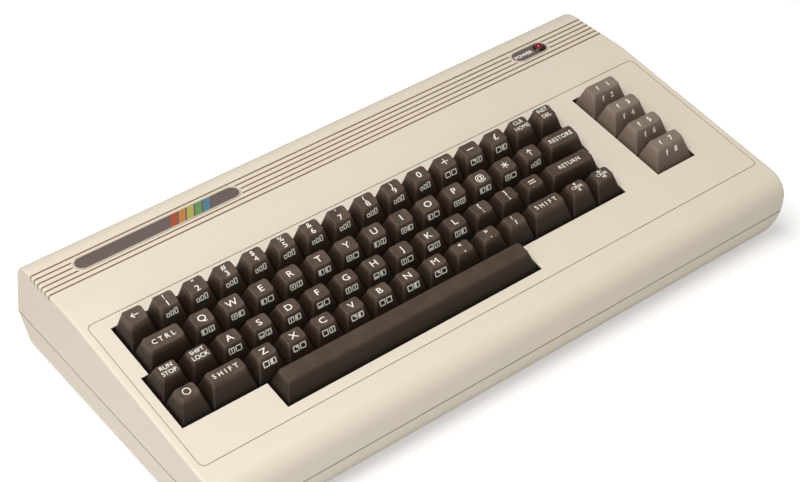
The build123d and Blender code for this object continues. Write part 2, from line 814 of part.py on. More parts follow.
def make_bar_hooks():
    """Two hooks under the long bar that hold its levelling wire."""
    reach = wire_radius + hook_clearance
    with BuildPart() as hooks:
        for side in (-1, 1):
            with BuildSketch(Plane.YZ.offset(side * hook_reach - hook_wall)):
                with Locations((wire_run_offset, -wire_run_drop)):
                    Circle(reach + hook_wall)
                with Locations((wire_run_offset, -wire_run_drop + hook_height / 2)):
                    Rectangle(2 * reach + hook_wall, hook_height)
                with Locations((wire_run_offset, -wire_run_drop)):
                    Circle(reach, mode=Mode.SUBTRACT)
            extrude(amount=2 * hook_wall)
    return hooks.part


def make_key_node(node, caps, plunger):
    """All caps and plungers of one node, at their places on the deck."""
    with BuildPart() as key:
        for name, row, width, x, y in keys:
            if name == node:
                place = deck_plane.location * Location((x, y, 0))
                add(caps[cap_kind(name, row, width)].moved(place))
                for offset in post_offsets(width):
                    add(plunger.moved(place * Location((offset, 0, 0))))
    return key


def cap_kind(node, row, width):
    """Name of the cap shape a key takes: its own row's, or the function keys'."""
    if node in function_keys:
        return ("function", width)
    return (row, width)


def make_caps():
    """Every cap shape that the keys need, by kind."""
    caps = {}
    for node, row, width, _, _ in keys:
        kind = cap_kind(node, row, width)
        if kind not in caps:
            shape = function_shape if kind[0] == "function" else cap_shapes[row]
            caps[kind] = make_cap(width, shape)
    with BuildPart() as bar:
        add(caps[(row_count - 1, bar_width)])
        add(make_bar_hooks())
    caps[(row_count - 1, bar_width)] = bar.part
    return caps


# ================================================================ keyboard unit
def make_keyboard_frame():
    """Plate with a guide sleeve for every stem, a rim, posts and the wire's lugs."""
    sleeve_radius = stem_radius + stem_clearance + sleeve_wall
    stems = [(x, y) for _, _, _, x, y in keys] + guide_places
    rim_depth = keyboard_board_drop - frame_drop
    width = frame_right - frame_left
    depth = frame_rear - frame_front
    middle = ((frame_left + frame_right) / 2, (frame_rear + frame_front) / 2)
    with BuildPart() as frame:
        with BuildSketch(deck_plane.offset(-frame_drop)):
            with Locations(middle):
                Rectangle(width, depth)
        extrude(amount=-frame_plate)
        with BuildSketch(deck_plane.offset(-frame_drop)):
            with Locations(middle):
                Rectangle(width, depth)
                Rectangle(width - 2 * rim_thickness, depth - 2 * rim_thickness, mode=Mode.SUBTRACT)
        extrude(amount=-rim_depth)
        with BuildSketch(deck_plane.offset(-frame_drop)):
            with Locations(*board_post_places):
                Circle(small_screw[2] + boss_wall)
        extrude(amount=-rim_depth)
        with BuildSketch(deck_plane.offset(-frame_drop)):
            with Locations(*stems):
                Circle(sleeve_radius)
        extrude(amount=-frame_plate - sleeve_length)
        with BuildSketch(deck_plane.offset(-frame_drop)):
            with Locations(*stems):
                Circle(stem_radius + stem_clearance)
            with Locations(*frame_screw_places):
                Circle(small_screw[2] + screw_clearance)
        extrude(amount=-rim_depth, mode=Mode.SUBTRACT)
        with BuildSketch(deck_plane.offset(-keyboard_board_drop)):
            with Locations(*board_post_places):
                Circle(small_screw[2] + screw_clearance)
        extrude(amount=keyboard_screw_bite, mode=Mode.SUBTRACT)
        lug_radius = wire_radius + wire_pin_clearance + lug_wall
        bar_middle = deck_x(bar_start + bar_width / 2)
        for side in (-1, 1):
            lug_middle = bar_middle + side * (wire_reach - wire_end + lug_thickness / 2)
            lug_side = Plane(
                origin=deck_plane.from_local_coords(
                    (lug_middle - lug_thickness / 2, row_y(row_count - 1), 0)),
                x_dir=(0, cos(radians(deck_tilt)), sin(radians(deck_tilt))), z_dir=(1, 0, 0))
            pin = (wire_pin_offset, -wire_pin_drop)
            with BuildSketch(lug_side):
                with Locations(pin):
                    Circle(lug_radius)
                with Locations((pin[0], (-wire_pin_drop - frame_drop) / 2)):
                    Rectangle(2 * lug_radius, frame_drop - wire_pin_drop)
                with Locations(pin):
                    Circle(wire_radius + wire_pin_clearance, mode=Mode.SUBTRACT)
            extrude(amount=lug_thickness)
    return frame


def make_space_bar_wire():
    """Levelling wire: a long run in the bar's hooks and two arms that turn in the lugs."""
    bar_middle = deck_x(bar_start + bar_width / 2)
    bar_y = row_y(row_count - 1)
    half = wire_reach
    run = (bar_y + wire_run_offset, -wire_run_drop)
    pin = (bar_y + wire_pin_offset, -wire_pin_drop)
    corners = (
        (bar_middle - half + wire_end, *pin), (bar_middle - half, *pin), (bar_middle - half, *run),
        (bar_middle + half, *run), (bar_middle + half, *pin), (bar_middle + half - wire_end, *pin),
    )
    points = [deck_plane.from_local_coords(corner) for corner in corners]
    with BuildPart() as wire:
        with BuildLine() as path:
            FilletPolyline(*points, radius=wire_bend)
        with BuildSketch(Plane(points[0], z_dir=(-1, 0, 0))):
            Circle(wire_radius)
        sweep(path=path.line)
    return wire


def make_keyboard_board():
    """Circuit board that closes the keyboard unit from below."""
    with BuildPart() as board:
        with BuildSketch(deck_plane.offset(-keyboard_board_drop)):
            with Locations(((frame_left + frame_right) / 2, (frame_rear + frame_front) / 2)):
                Rectangle(frame_right - frame_left, frame_rear - frame_front)
            with Locations(*board_post_places):
                Circle(small_screw[2] + screw_clearance, mode=Mode.SUBTRACT)
            with Locations(*frame_screw_places):
                Circle(small_screw[0] + driver_clearance, mode=Mode.SUBTRACT)
        extrude(amount=-keyboard_board_thickness)
    return board


def make_key_springs():
    """One spring under each key's collar: square-wire turns, joined side by side in turn."""
    start = -frame_drop + spring_end_gap
    outer = spring_radius + spring_wire / 2
    pitch = (spring_length - spring_wire) / (spring_turns - 1)
    slot = 2 * outer + spring_wire
    with BuildPart() as spring:
        with BuildSketch(Plane.XY.offset(start)):
            Circle(outer)
            Circle(outer - spring_wire, mode=Mode.SUBTRACT)
        extrude(amount=spring_length)
        for turn in range(spring_turns - 1):
            shift = spring_link * (-1) ** turn
            middle = start + spring_wire + turn * pitch + (pitch - spring_wire) / 2
            with Locations((shift, 0, middle)):
                Box(slot, slot, pitch - spring_wire, mode=Mode.SUBTRACT)
    with BuildPart() as springs:
        add([spring.part.moved(deck_plane.location * Location((x, y, 0))) for _, _, _, x, y in keys])
    return springs


# ================================================================ main board
def make_main_board():
    """Main circuit board with its two edge-connector tabs."""
    with BuildPart() as board:
        with BuildSketch(Plane.XY.offset(board_bottom)):
            with Locations(((board_left + board_right) / 2, (board_front + board_rear) / 2)):
                Rectangle(board_right - board_left, board_rear - board_front)
            for x, width in ((user_port_x, user_port_width), (tape_port_x, tape_port_width)):
                with Locations((x, (edge_tab_reach + board_rear) / 2)):
                    Rectangle(width, edge_tab_reach - board_rear + board_thickness)
            with Locations(*standoff_places):
                Circle(board_screw[2] + screw_clearance, mode=Mode.SUBTRACT)
        extrude(amount=board_thickness)
    return board


def make_integrated_circuits():
    """Chips in their moulded cases, flat on the board."""
    first_x, row_middle, pitch, count = memory_chips
    with BuildPart() as circuits:
        for x, y, length, width in chips:
            with Locations((x, y, board_top + dip_height / 2)):
                Box(length, width, dip_height)
        for index in range(count):
            with Locations((first_x + index * pitch, row_middle, board_top + dip_height / 2)):
                Box(*memory_size, dip_height)
        chamfer(circuits.edges().filter_by(Axis.Z), dip_height / 8)
        chamfer(circuits.faces().group_by(Axis.Z)[-1].edges(), dip_height / 8)
    return circuits


def make_capacitors():
    """Round electrolytic cans standing on the board."""
    with BuildPart() as capacitors:
        for x, y, radius, height in cans:
            with BuildSketch(Plane.XY.offset(board_top)):
                with Locations((x, y)):
                    Circle(radius)
            extrude(amount=height)
        fillet(capacitors.faces().filter_by(Axis.Z).edges(), can_edge_radius)
    return capacitors


def make_fuse():
    """Glass fuse lying in its two clips."""
    with BuildPart() as fuse:
        with Locations((*fuse_place, fuse_height)):
            Cylinder(fuse_radius, fuse_length, rotation=(0, 90, 0))
    return fuse


def make_fuse_clips():
    """Spring clips that hold the fuse's ends."""
    offset_x = (fuse_length - fuse_clip_width) / 2
    cradle = fuse_radius + fuse_clearance
    with BuildPart() as clips:
        with Locations([(fuse_place[0] + side * offset_x, fuse_place[1], board_top + fuse_clip_height / 2)
                        for side in (-1, 1)]):
            Box(fuse_clip_width, 2 * (cradle + fuse_clip_wall), fuse_clip_height)
        with Locations((*fuse_place, fuse_height)):
            Cylinder(cradle, fuse_length, rotation=(0, 90, 0), mode=Mode.SUBTRACT)
        with Locations((*fuse_place, fuse_height + fuse_clip_height / 2)):
            Box(fuse_length, fuse_clip_mouth, fuse_clip_height, mode=Mode.SUBTRACT)
    return clips


def make_heat_sink():
    """Finned heat sink of the voltage regulators."""
    x, y = heat_sink_place
    width = (heat_sink_fins - 1) * heat_sink_pitch + heat_sink_base
    with BuildPart() as heat_sink:
        with Locations((x, y, board_top + heat_sink_base / 2)):
            Box(heat_sink_length, width, heat_sink_base)
        with Locations((x, y, board_top + heat_sink_height / 2)):
            with GridLocations(0, heat_sink_pitch, 1, heat_sink_fins):
                Box(heat_sink_length, heat_sink_base / 2, heat_sink_height)
    return heat_sink


def make_board_headers():
    """Pin headers: keyboard plug and lamp plug on the board, outlet on the keyboard board."""
    with BuildPart() as headers:
        with Locations((keyboard_plug_x, keyboard_plug_y, board_top + keyboard_plug_height / 2)):
            Box(keyboard_plug_length, plug_width, keyboard_plug_height)
        with Locations((lamp_x, led_plug_y, board_top + keyboard_plug_height / 2)):
            Box(led_plug_length, plug_width, keyboard_plug_height)
        with BuildSketch(deck_plane.offset(-keyboard_board_drop - keyboard_board_thickness)):
            with Locations((keyboard_plug_x, keyboard_outlet_y)):
                Rectangle(keyboard_plug_length, plug_width)
        extrude(amount=-plug_width)
    return headers


def make_keyboard_cable():
    """Flat cable from the keyboard board down to the main board."""
    outlet_drop = keyboard_board_drop + keyboard_board_thickness + plug_width + cable_seat_gap
    start = deck_plane.from_local_coords((0, keyboard_outlet_y, -outlet_drop))
    plug_top = board_top + keyboard_plug_height
    rise = start.Z - plug_top
    points = [
        (start.Y, start.Z), (start.Y - rise / 4, start.Z - rise / 2),
        (keyboard_plug_y, plug_top + rise / 2), (keyboard_plug_y, plug_top),
    ]
    return make_ribbon(points, keyboard_plug_x, keyboard_plug_length - cable_margin)


def make_led_cable():
    """Flat lead from the lamp's legs down to the main board."""
    legs_end = led_lip - led_holder_depth - led_leg_length
    start = lamp_plane.from_local_coords((0, 0, legs_end))
    plug_top = board_top + keyboard_plug_height
    rise = start.Z - plug_top
    points = [
        (start.Y, start.Z), (start.Y, start.Z - led_cable_slack * rise),
        (led_plug_y, plug_top + led_cable_slack * rise), (led_plug_y, plug_top),
    ]
    return make_ribbon(points, lamp_x, led_plug_length - cable_margin)


# ================================================================ sockets
def make_din_socket(face, facing):
    """Round plug socket in a square block: its face's middle, and the way it faces."""
    face_plane = Plane(origin=face, x_dir=Vector(0, 0, 1).cross(Vector(*facing)), z_dir=facing)
    with BuildPart() as socket:
        with BuildSketch(face_plane):
            Rectangle(din_size, din_height)
        extrude(amount=-din_depth)
        with BuildSketch(face_plane):
            Circle(din_bore)
        extrude(amount=-din_bore_depth, mode=Mode.SUBTRACT)
        chamfer(socket.edges().filter_by(GeomType.CIRCLE).sort_by_distance(face)[0], seam_chamfer)
        with BuildSketch(face_plane.offset(-din_bore_depth)):
            with PolarLocations(din_pin_circle, din_pins, start_angle=180, angular_range=180,
                                endpoint=True):
                Circle(din_pin_radius)
        extrude(amount=-din_pin_depth, mode=Mode.SUBTRACT)
    return socket


def make_rf_modulator():
    """Sheet-metal signal box with its aerial socket and the slot of the channel switch."""
    top = board_top + modulator_height
    middle_y = modulator_face - modulator_depth / 2
    rear_plane = Plane(
        origin=(modulator_x, modulator_face, din_middle), x_dir=(-1, 0, 0), z_dir=(0, 1, 0))
    with BuildPart() as modulator:
        with Locations((modulator_x, middle_y, (board_top + top) / 2)):
            Box(modulator_width, modulator_depth, modulator_height)
        with Locations((modulator_x, middle_y, (board_top + top) / 2 - modulator_sheet)):
            Box(modulator_width - 2 * modulator_sheet, modulator_depth - 2 * modulator_sheet,
                modulator_height, mode=Mode.SUBTRACT)
        with BuildSketch(rear_plane):
            with Locations((-barrel_x, 0)):
                Circle(barrel_radius)
        extrude(amount=barrel_length)
        with BuildSketch(rear_plane.offset(barrel_length)):
            with Locations((-barrel_x, 0)):
                Circle(barrel_bore)
        extrude(amount=-barrel_length, mode=Mode.SUBTRACT)
        with BuildSketch(rear_plane):
            with Locations((-channel_x, 0)):
                Rectangle(channel_travel + channel_knob + 2 * channel_clearance,
                          channel_knob + 2 * channel_clearance)
        extrude(amount=-2 * modulator_sheet, mode=Mode.SUBTRACT)
    return modulator


def make_channel_slider():
    """Knob of the channel switch, at the end of its slot, with its shoe inside the box."""
    start = modulator_x + channel_x - channel_travel / 2
    with BuildPart() as slider:
        with Locations((start, modulator_face, din_middle)):
            Box(channel_knob, 2 * channel_rise, channel_knob)
        shoe_y = modulator_face - modulator_sheet - channel_clearance - channel_rise / 2
        with Locations((start, shoe_y, din_middle)):
            Box(channel_shoe, channel_rise, channel_shoe)
    return slider


def make_cartridge_socket():
    """Long socket that faces the rear, with the slot for a cartridge's board."""
    middle_y = cartridge_face - cartridge_depth / 2
    total = cartridge_lift + cartridge_height
    slot_z = board_top + cartridge_lift + cartridge_height / 2
    with BuildPart() as socket:
        with Locations((cartridge_x, middle_y, board_top + total / 2)):
            Box(cartridge_width, cartridge_depth, total)
        chamfer(socket.edges().filter_by(Axis.Y), 2 * seam_chamfer)
        with Locations((cartridge_x, cartridge_face, slot_z)):
            Box(cartridge_width - 2 * wall, 2 * cartridge_slot_depth, cartridge_slot,
                mode=Mode.SUBTRACT)
    return socket


def make_control_port(y):
    """Nine-pin controller socket: block, flange and D-shaped shell with its pins."""
    middle_z = board_top + control_port_height / 2
    flange_plane = Plane(origin=(control_flange_face, y, middle_z), x_dir=(0, 1, 0), z_dir=(1, 0, 0))
    half_top = control_shell_width / 2
    half_bottom = half_top - control_shell_slant
    half_height = control_shell_height / 2
    corners = ((-half_bottom, -half_height), (half_bottom, -half_height),
               (half_top, half_height), (-half_top, half_height))
    with BuildPart() as port:
        with BuildSketch(flange_plane):
            Rectangle(control_port_width, control_port_height)
        extrude(amount=-control_flange)
        with BuildSketch(flange_plane.offset(-control_flange)):
            Rectangle(control_shell_width, control_port_height)
        extrude(amount=-control_block_depth)
        with BuildSketch(flange_plane) as shell:
            with BuildLine():
                Polyline(*corners, close=True)
            make_face()
            fillet(shell.vertices(), control_shell_corner)
            offset(amount=-control_shell_wall, mode=Mode.SUBTRACT)
        extrude(amount=control_shell_length)
        with BuildSketch(flange_plane):
            for row_offset, count in ((control_pin_row / 2, 5), (-control_pin_row / 2, 4)):
                with Locations((0, row_offset)):
                    with GridLocations(control_pin_row, 0, count, 1):
                        Circle(control_pin_radius)
        extrude(amount=control_pin_length)
    return port


# ================================================================ power switch
def make_power_switch_body():
    """Housing of the rocker with its frame in the case wall."""
    middle_z = board_top + switch_height / 2
    pocket_reach = rocker_sweep + rocker_clearance
    face_plane = Plane(origin=(switch_face, switch_y, middle_z), x_dir=(0, 1, 0), z_dir=(1, 0, 0))
    with BuildPart() as body:
        with BuildSketch(face_plane.offset(switch_bezel)):
            Rectangle(switch_length, switch_height)
        extrude(amount=-switch_depth - switch_bezel)
        with BuildSketch(face_plane.offset(switch_bezel)):
            Rectangle(2 * pocket_reach, rocker_width + 2 * rocker_clearance)
        extrude(amount=-switch_bezel - rocker_pivot_depth - pocket_reach, mode=Mode.SUBTRACT)
        with Locations((switch_face - rocker_pivot_depth, switch_y, middle_z)):
            Cylinder(rocker_pin_radius + wire_pin_clearance / 2,
                     rocker_width + 2 * rocker_pin_length + rocker_clearance, mode=Mode.SUBTRACT)
    return body


def make_power_rocker():
    """Rocker in its off position, turned half its swing about the upright pivot."""
    pivot = (switch_face - rocker_pivot_depth, switch_y, board_top + switch_height / 2)
    outline = (
        (rocker_lip, -rocker_half), (rocker_dip, 0), (rocker_lip, rocker_half), (0, rocker_half),
        (-rocker_back, rocker_back_half), (-rocker_back, -rocker_back_half), (0, -rocker_half),
    )
    rocker_plane = Plane(pivot).rotated((0, 0, -rocker_swing / 2))
    with BuildPart() as rocker:
        with BuildSketch(rocker_plane.offset(-rocker_width / 2)):
            with BuildLine():
                Polyline(*outline, close=True)
            make_face()
        extrude(amount=rocker_width)
        with Locations(pivot):
            Cylinder(rocker_pin_radius, rocker_width + 2 * rocker_pin_length)
    return rocker


def make_feet():
    """Four rubber feet in their shallow seats."""
    with BuildPart() as feet:
        with BuildSketch(Plane.XY):
            with Locations(*foot_places):
                Circle(rubber_radius)
        extrude(amount=foot_height + foot_recess)
        chamfer(feet.faces().group_by(Axis.Z)[0].edges(), foot_recess)
    return feet


# ================================================================ output
def main():
    """Build every piece and write it."""
    os.makedirs("parts", exist_ok=True)
    body = case_body(0)
    cavity = case_body(wall)
    caps = make_caps()
    plunger = make_plunger()
    screw_seat = deck_plane.offset(-frame_drop - frame_plate)
    board_seat = deck_plane.offset(-keyboard_board_drop - keyboard_board_thickness)
    pieces = {
        "top_case": make_top_case(body, cavity),
        "bottom_case": make_bottom_case(body, cavity),
        "main_badge": make_badge(badge_x, badge_length, False),
        "power_badge": make_badge(power_badge_x, power_badge_length, True),
        "power_led": make_power_led(),
        "led_holder": make_led_holder(),
        "led_cable": make_led_cable(),
        "keyboard_frame": make_keyboard_frame(),
        "keyboard_circuit_board": make_keyboard_board(),
        "keyboard_screws": make_screws(small_screw, frame_plate + keyboard_screw_bite - 1,
                                       frame_screw_places, screw_seat),
        "keyboard_board_screws": make_screws(
            small_screw, keyboard_board_thickness + keyboard_screw_bite - 1, board_post_places,
            board_seat),
        "key_springs": make_key_springs(),
        "space_bar_wire": make_space_bar_wire(),
        "keyboard_cable": make_keyboard_cable(),
        "board_headers": make_board_headers(),
        "main_circuit_board": make_main_board(),
        "board_screws": make_screws(board_screw, board_thickness + board_standoff - 1,
                                    standoff_places, Plane.XY.offset(board_top), head_below=False),
        "integrated_circuits": make_integrated_circuits(),
        "capacitors": make_capacitors(),
        "fuse": make_fuse(),
        "fuse_clips": make_fuse_clips(),
        "heat_sink": make_heat_sink(),
        "rf_modulator": make_rf_modulator(),
        "channel_slider": make_channel_slider(),
        "serial_socket": make_din_socket((serial_x, din_face, din_middle), (0, 1, 0)),
        "video_socket": make_din_socket((video_x, din_face, din_middle), (0, 1, 0)),
        "power_inlet": make_din_socket((inlet_face, inlet_y, din_middle), (1, 0, 0)),
        "cartridge_socket": make_cartridge_socket(),
        "control_port_1": make_control_port(control_port_places[0]),
        "control_port_2": make_control_port(control_port_places[1]),
        "power_switch_body": make_power_switch_body(),
        "power_rocker": make_power_rocker(),
        "case_screws": make_screws(
            case_screw, seam_height - foot_height - screw_recess - case_screw[1] + case_screw_bite - 1,
            case_screw_places, Plane.XY.offset(foot_height + screw_recess + case_screw[1])),
        "rubber_feet": make_feet(),
    }
    for node in dict.fromkeys(key[0] for key in keys):
        pieces[node] = make_key_node(node, caps, plunger)
    for node, piece in pieces.items():
        save(piece, node)


main()
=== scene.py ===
"""Looks of a one-piece home computer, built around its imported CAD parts.

The row frame is in metres: +X to the right, -Y to the front edge, +Z up, with the origin on
the table under the middle of the case. Sizes of small things are in millimetres, and MM turns
them into metres.
"""

import json
import logging
import math
from dataclasses import dataclass, field
from enum import Enum

import bpy
from mathutils import Euler, Matrix, Vector
from mathutils.bvhtree import BVHTree

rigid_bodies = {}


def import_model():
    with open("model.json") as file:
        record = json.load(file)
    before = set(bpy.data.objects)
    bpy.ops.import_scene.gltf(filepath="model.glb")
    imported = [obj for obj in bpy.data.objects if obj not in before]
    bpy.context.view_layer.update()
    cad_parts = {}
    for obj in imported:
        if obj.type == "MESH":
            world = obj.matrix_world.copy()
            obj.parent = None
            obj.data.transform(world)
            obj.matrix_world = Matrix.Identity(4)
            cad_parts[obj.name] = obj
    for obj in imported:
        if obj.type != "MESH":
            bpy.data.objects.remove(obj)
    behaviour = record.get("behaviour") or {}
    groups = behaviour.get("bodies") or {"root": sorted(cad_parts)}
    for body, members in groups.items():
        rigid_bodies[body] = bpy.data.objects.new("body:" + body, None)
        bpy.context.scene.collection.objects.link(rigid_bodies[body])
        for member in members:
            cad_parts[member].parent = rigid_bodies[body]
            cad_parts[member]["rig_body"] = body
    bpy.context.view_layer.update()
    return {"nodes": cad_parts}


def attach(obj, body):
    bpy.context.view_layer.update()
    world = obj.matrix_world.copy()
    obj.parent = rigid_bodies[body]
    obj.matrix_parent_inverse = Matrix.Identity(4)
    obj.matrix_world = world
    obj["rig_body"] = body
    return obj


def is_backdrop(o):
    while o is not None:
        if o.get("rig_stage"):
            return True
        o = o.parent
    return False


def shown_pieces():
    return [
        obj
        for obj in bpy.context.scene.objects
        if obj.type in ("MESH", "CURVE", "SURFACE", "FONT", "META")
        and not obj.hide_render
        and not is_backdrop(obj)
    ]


LOG = logging.getLogger("home_computer")
MM = 0.001
PER_METRE = 1000.0

# The key deck in millimetres. Its own frame starts at the rear edge of the keys, and the foot
# of every cap lies SKIRT_FOOT under its surface.
KEY_PITCH = 19.05
KEY_ROWS = 5
CAP_DEPTH = KEY_PITCH - 0.75
SKIRT_FOOT = 1.5
DECK_TILT = math.radians(8.0)
DECK_ORIGIN = Vector((0.0, 16.5, 64.5))
GRID_LEFT = -186.0

# The strip behind the deck: Y and Z of its front edge in millimetres, and its slope.
STRIP_START = (38.5, 67.592)
STRIP_TILT = math.radians(0.3)

# How far printed signs stand off their surface, in millimetres.
PRINT_LIFT = 0.03

Colour = tuple[float, float, float]
Point = tuple[float, float]
Loop = list[Point]
Faces = list[tuple[int, ...]]
Shape = tuple[list[Vector], Faces]
Socket = bpy.types.NodeSocket

WHITE: Colour = (1.0, 1.0, 1.0)
BLACK: Colour = (0.0, 0.0, 0.0)


class Slot(str, Enum):
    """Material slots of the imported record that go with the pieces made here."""

    KEY = "key"
    FUNCTION_KEY = "function_key"
    BADGE = "badge"
    BLACK_GLOSS = "black_gloss"
    STEEL = "steel"
    BRASS = "contact_brass"


class Mark(Enum):
    """Small signs that are drawn with strokes instead of letters."""

    LEFT = "left"
    RIGHT = "right"
    UP = "up"
    DOWN = "down"
    RING = "ring"
    LINE = "line"
    PLUS = "plus"
    MINUS = "minus"
    EQUAL = "equal"
    STAR = "star"


class FrontMark(Enum):
    """Signs on the keys' front faces: boxes with a fill, and the gauge of three blocks."""

    EMPTY = 0
    LOWER_HALF = 1
    LEFT_HALF = 2
    CORNER = 3
    BAR = 4
    DOT = 5
    GAUGE = 6


def linear(red: float, green: float, blue: float) -> Colour:
    """Turn display colour values from 0 to 255 into scene-linear ones."""
    return tuple(((c / 255 + 0.055) / 1.055) ** 2.4 if c > 10 else c / 3294.6
                 for c in (red, green, blue))


# ---------------------------------------------------------------------------- shader helpers
class Shader:
    """Adds nodes to a node tree, sets their values and links them."""

    def __init__(self, tree: bpy.types.NodeTree) -> None:
        """Start with an existing tree."""
        self.tree = tree

    def node(self, kind: str, *values: object, **settings: object) -> bpy.types.Node:
        """Add one node.

        Args:
            kind: Blender's name of the node type.
            *values: Values or sockets for the inputs, in their order; None leaves one alone.
            **settings: Properties of the node.

        Returns:
            The node.
        """
        node = self.tree.nodes.new(kind)
        for name, value in settings.items():
            setattr(node, name, value)
        for index, value in enumerate(values):
            if value is not None:
                self.put(node.inputs[index], value)
        return node

    def put(self, socket: Socket, value: object) -> None:
        """Link a socket to an input, or set the input's own value.

        Args:
            socket: The input.
            value: An output socket, a number or a tuple.
        """
        if isinstance(value, Socket):
            self.tree.links.new(value, socket)
        elif isinstance(value, (tuple, list)) and socket.type == "RGBA" and len(value) == 3:
            socket.default_value = (*value, 1.0)
        else:
            socket.default_value = value

    def fill(self, node: bpy.types.Node, values: dict[str, object]) -> None:
        """Put values or sockets into a node's inputs by their names."""
        for name, value in values.items():
            self.put(node.inputs[name], value)

    def math(self, operation: str, a: object, b: object = 0.0) -> Socket:
        """Combine two values with one of Blender's operations."""
        return self.node("ShaderNodeMath", a, b, operation=operation).outputs[0]

    def product(self, first: object, *others: object) -> Socket:
        """Multiply values or masks with each other.

        Args:
            first: First value or socket.
            *others: The rest of them.

        Returns:
            The product's socket.
        """
        result = first
        for other in others:
            result = self.math("MULTIPLY", result, other)
        return result

    def blend(self, factor: object, a: object, b: object) -> Socket:
        """Mix two colours.

        Args:
            factor: Share of the second colour.
            a: First colour or socket.
            b: Second colour or socket.

        Returns:
            The mixed colour's socket.
        """
        node = self.node("ShaderNodeMix", data_type="RGBA")
        for index, value in ((0, factor), (6, a), (7, b)):
            self.put(node.inputs[index], value)
        return node.outputs[2]

    def remap(self, value: object, low: float, high: float, to_low: float = 0.0,
              to_high: float = 1.0) -> Socket:
        """Map a value from low and high to to_low and to_high, clamped."""
        return self.node("ShaderNodeMapRange", value, low, high, to_low, to_high).outputs[0]

    def noise(self, vector: Socket, scale: object, detail: float,
              roughness: float = 0.55) -> Socket:
        """Sample a noise of scale cells per metre and detail octaves, 0.5 on average."""
        return self.node("ShaderNodeTexNoise", vector, None, scale, detail, roughness).outputs[0]

    def vector(self, operation: str, a: object, b: object) -> Socket:
        """Combine two vectors with one of Blender's operations."""
        return self.node("ShaderNodeVectorMath", a, b, operation=operation).outputs[0]

    def millimetres(self, place: Socket) -> tuple[Socket, ...]:
        """Split a place into its X, Y and Z in millimetres."""
        scaled = self.vector("MULTIPLY", place, (PER_METRE,) * 3)
        return tuple(self.node("ShaderNodeSeparateXYZ", scaled).outputs)

    def group(self, tree: bpy.types.NodeTree, *values: object) -> bpy.types.Node:
        """Use a shared node group.

        Args:
            tree: The group.
            *values: Values or sockets for its inputs, in their order.

        Returns:
            The group node.
        """
        node = self.tree.nodes.new("ShaderNodeGroup")
        node.node_tree = tree
        for index, value in enumerate(values):
            self.put(node.inputs[index], value)
        return node


@dataclass(frozen=True)
class GroupSocket:
    """One input or output of a shared node group."""

    name: str
    kind: str
    value: object = None


VECTOR = "NodeSocketVector"
FLOAT = "NodeSocketFloat"
COLOUR = "NodeSocketColor"


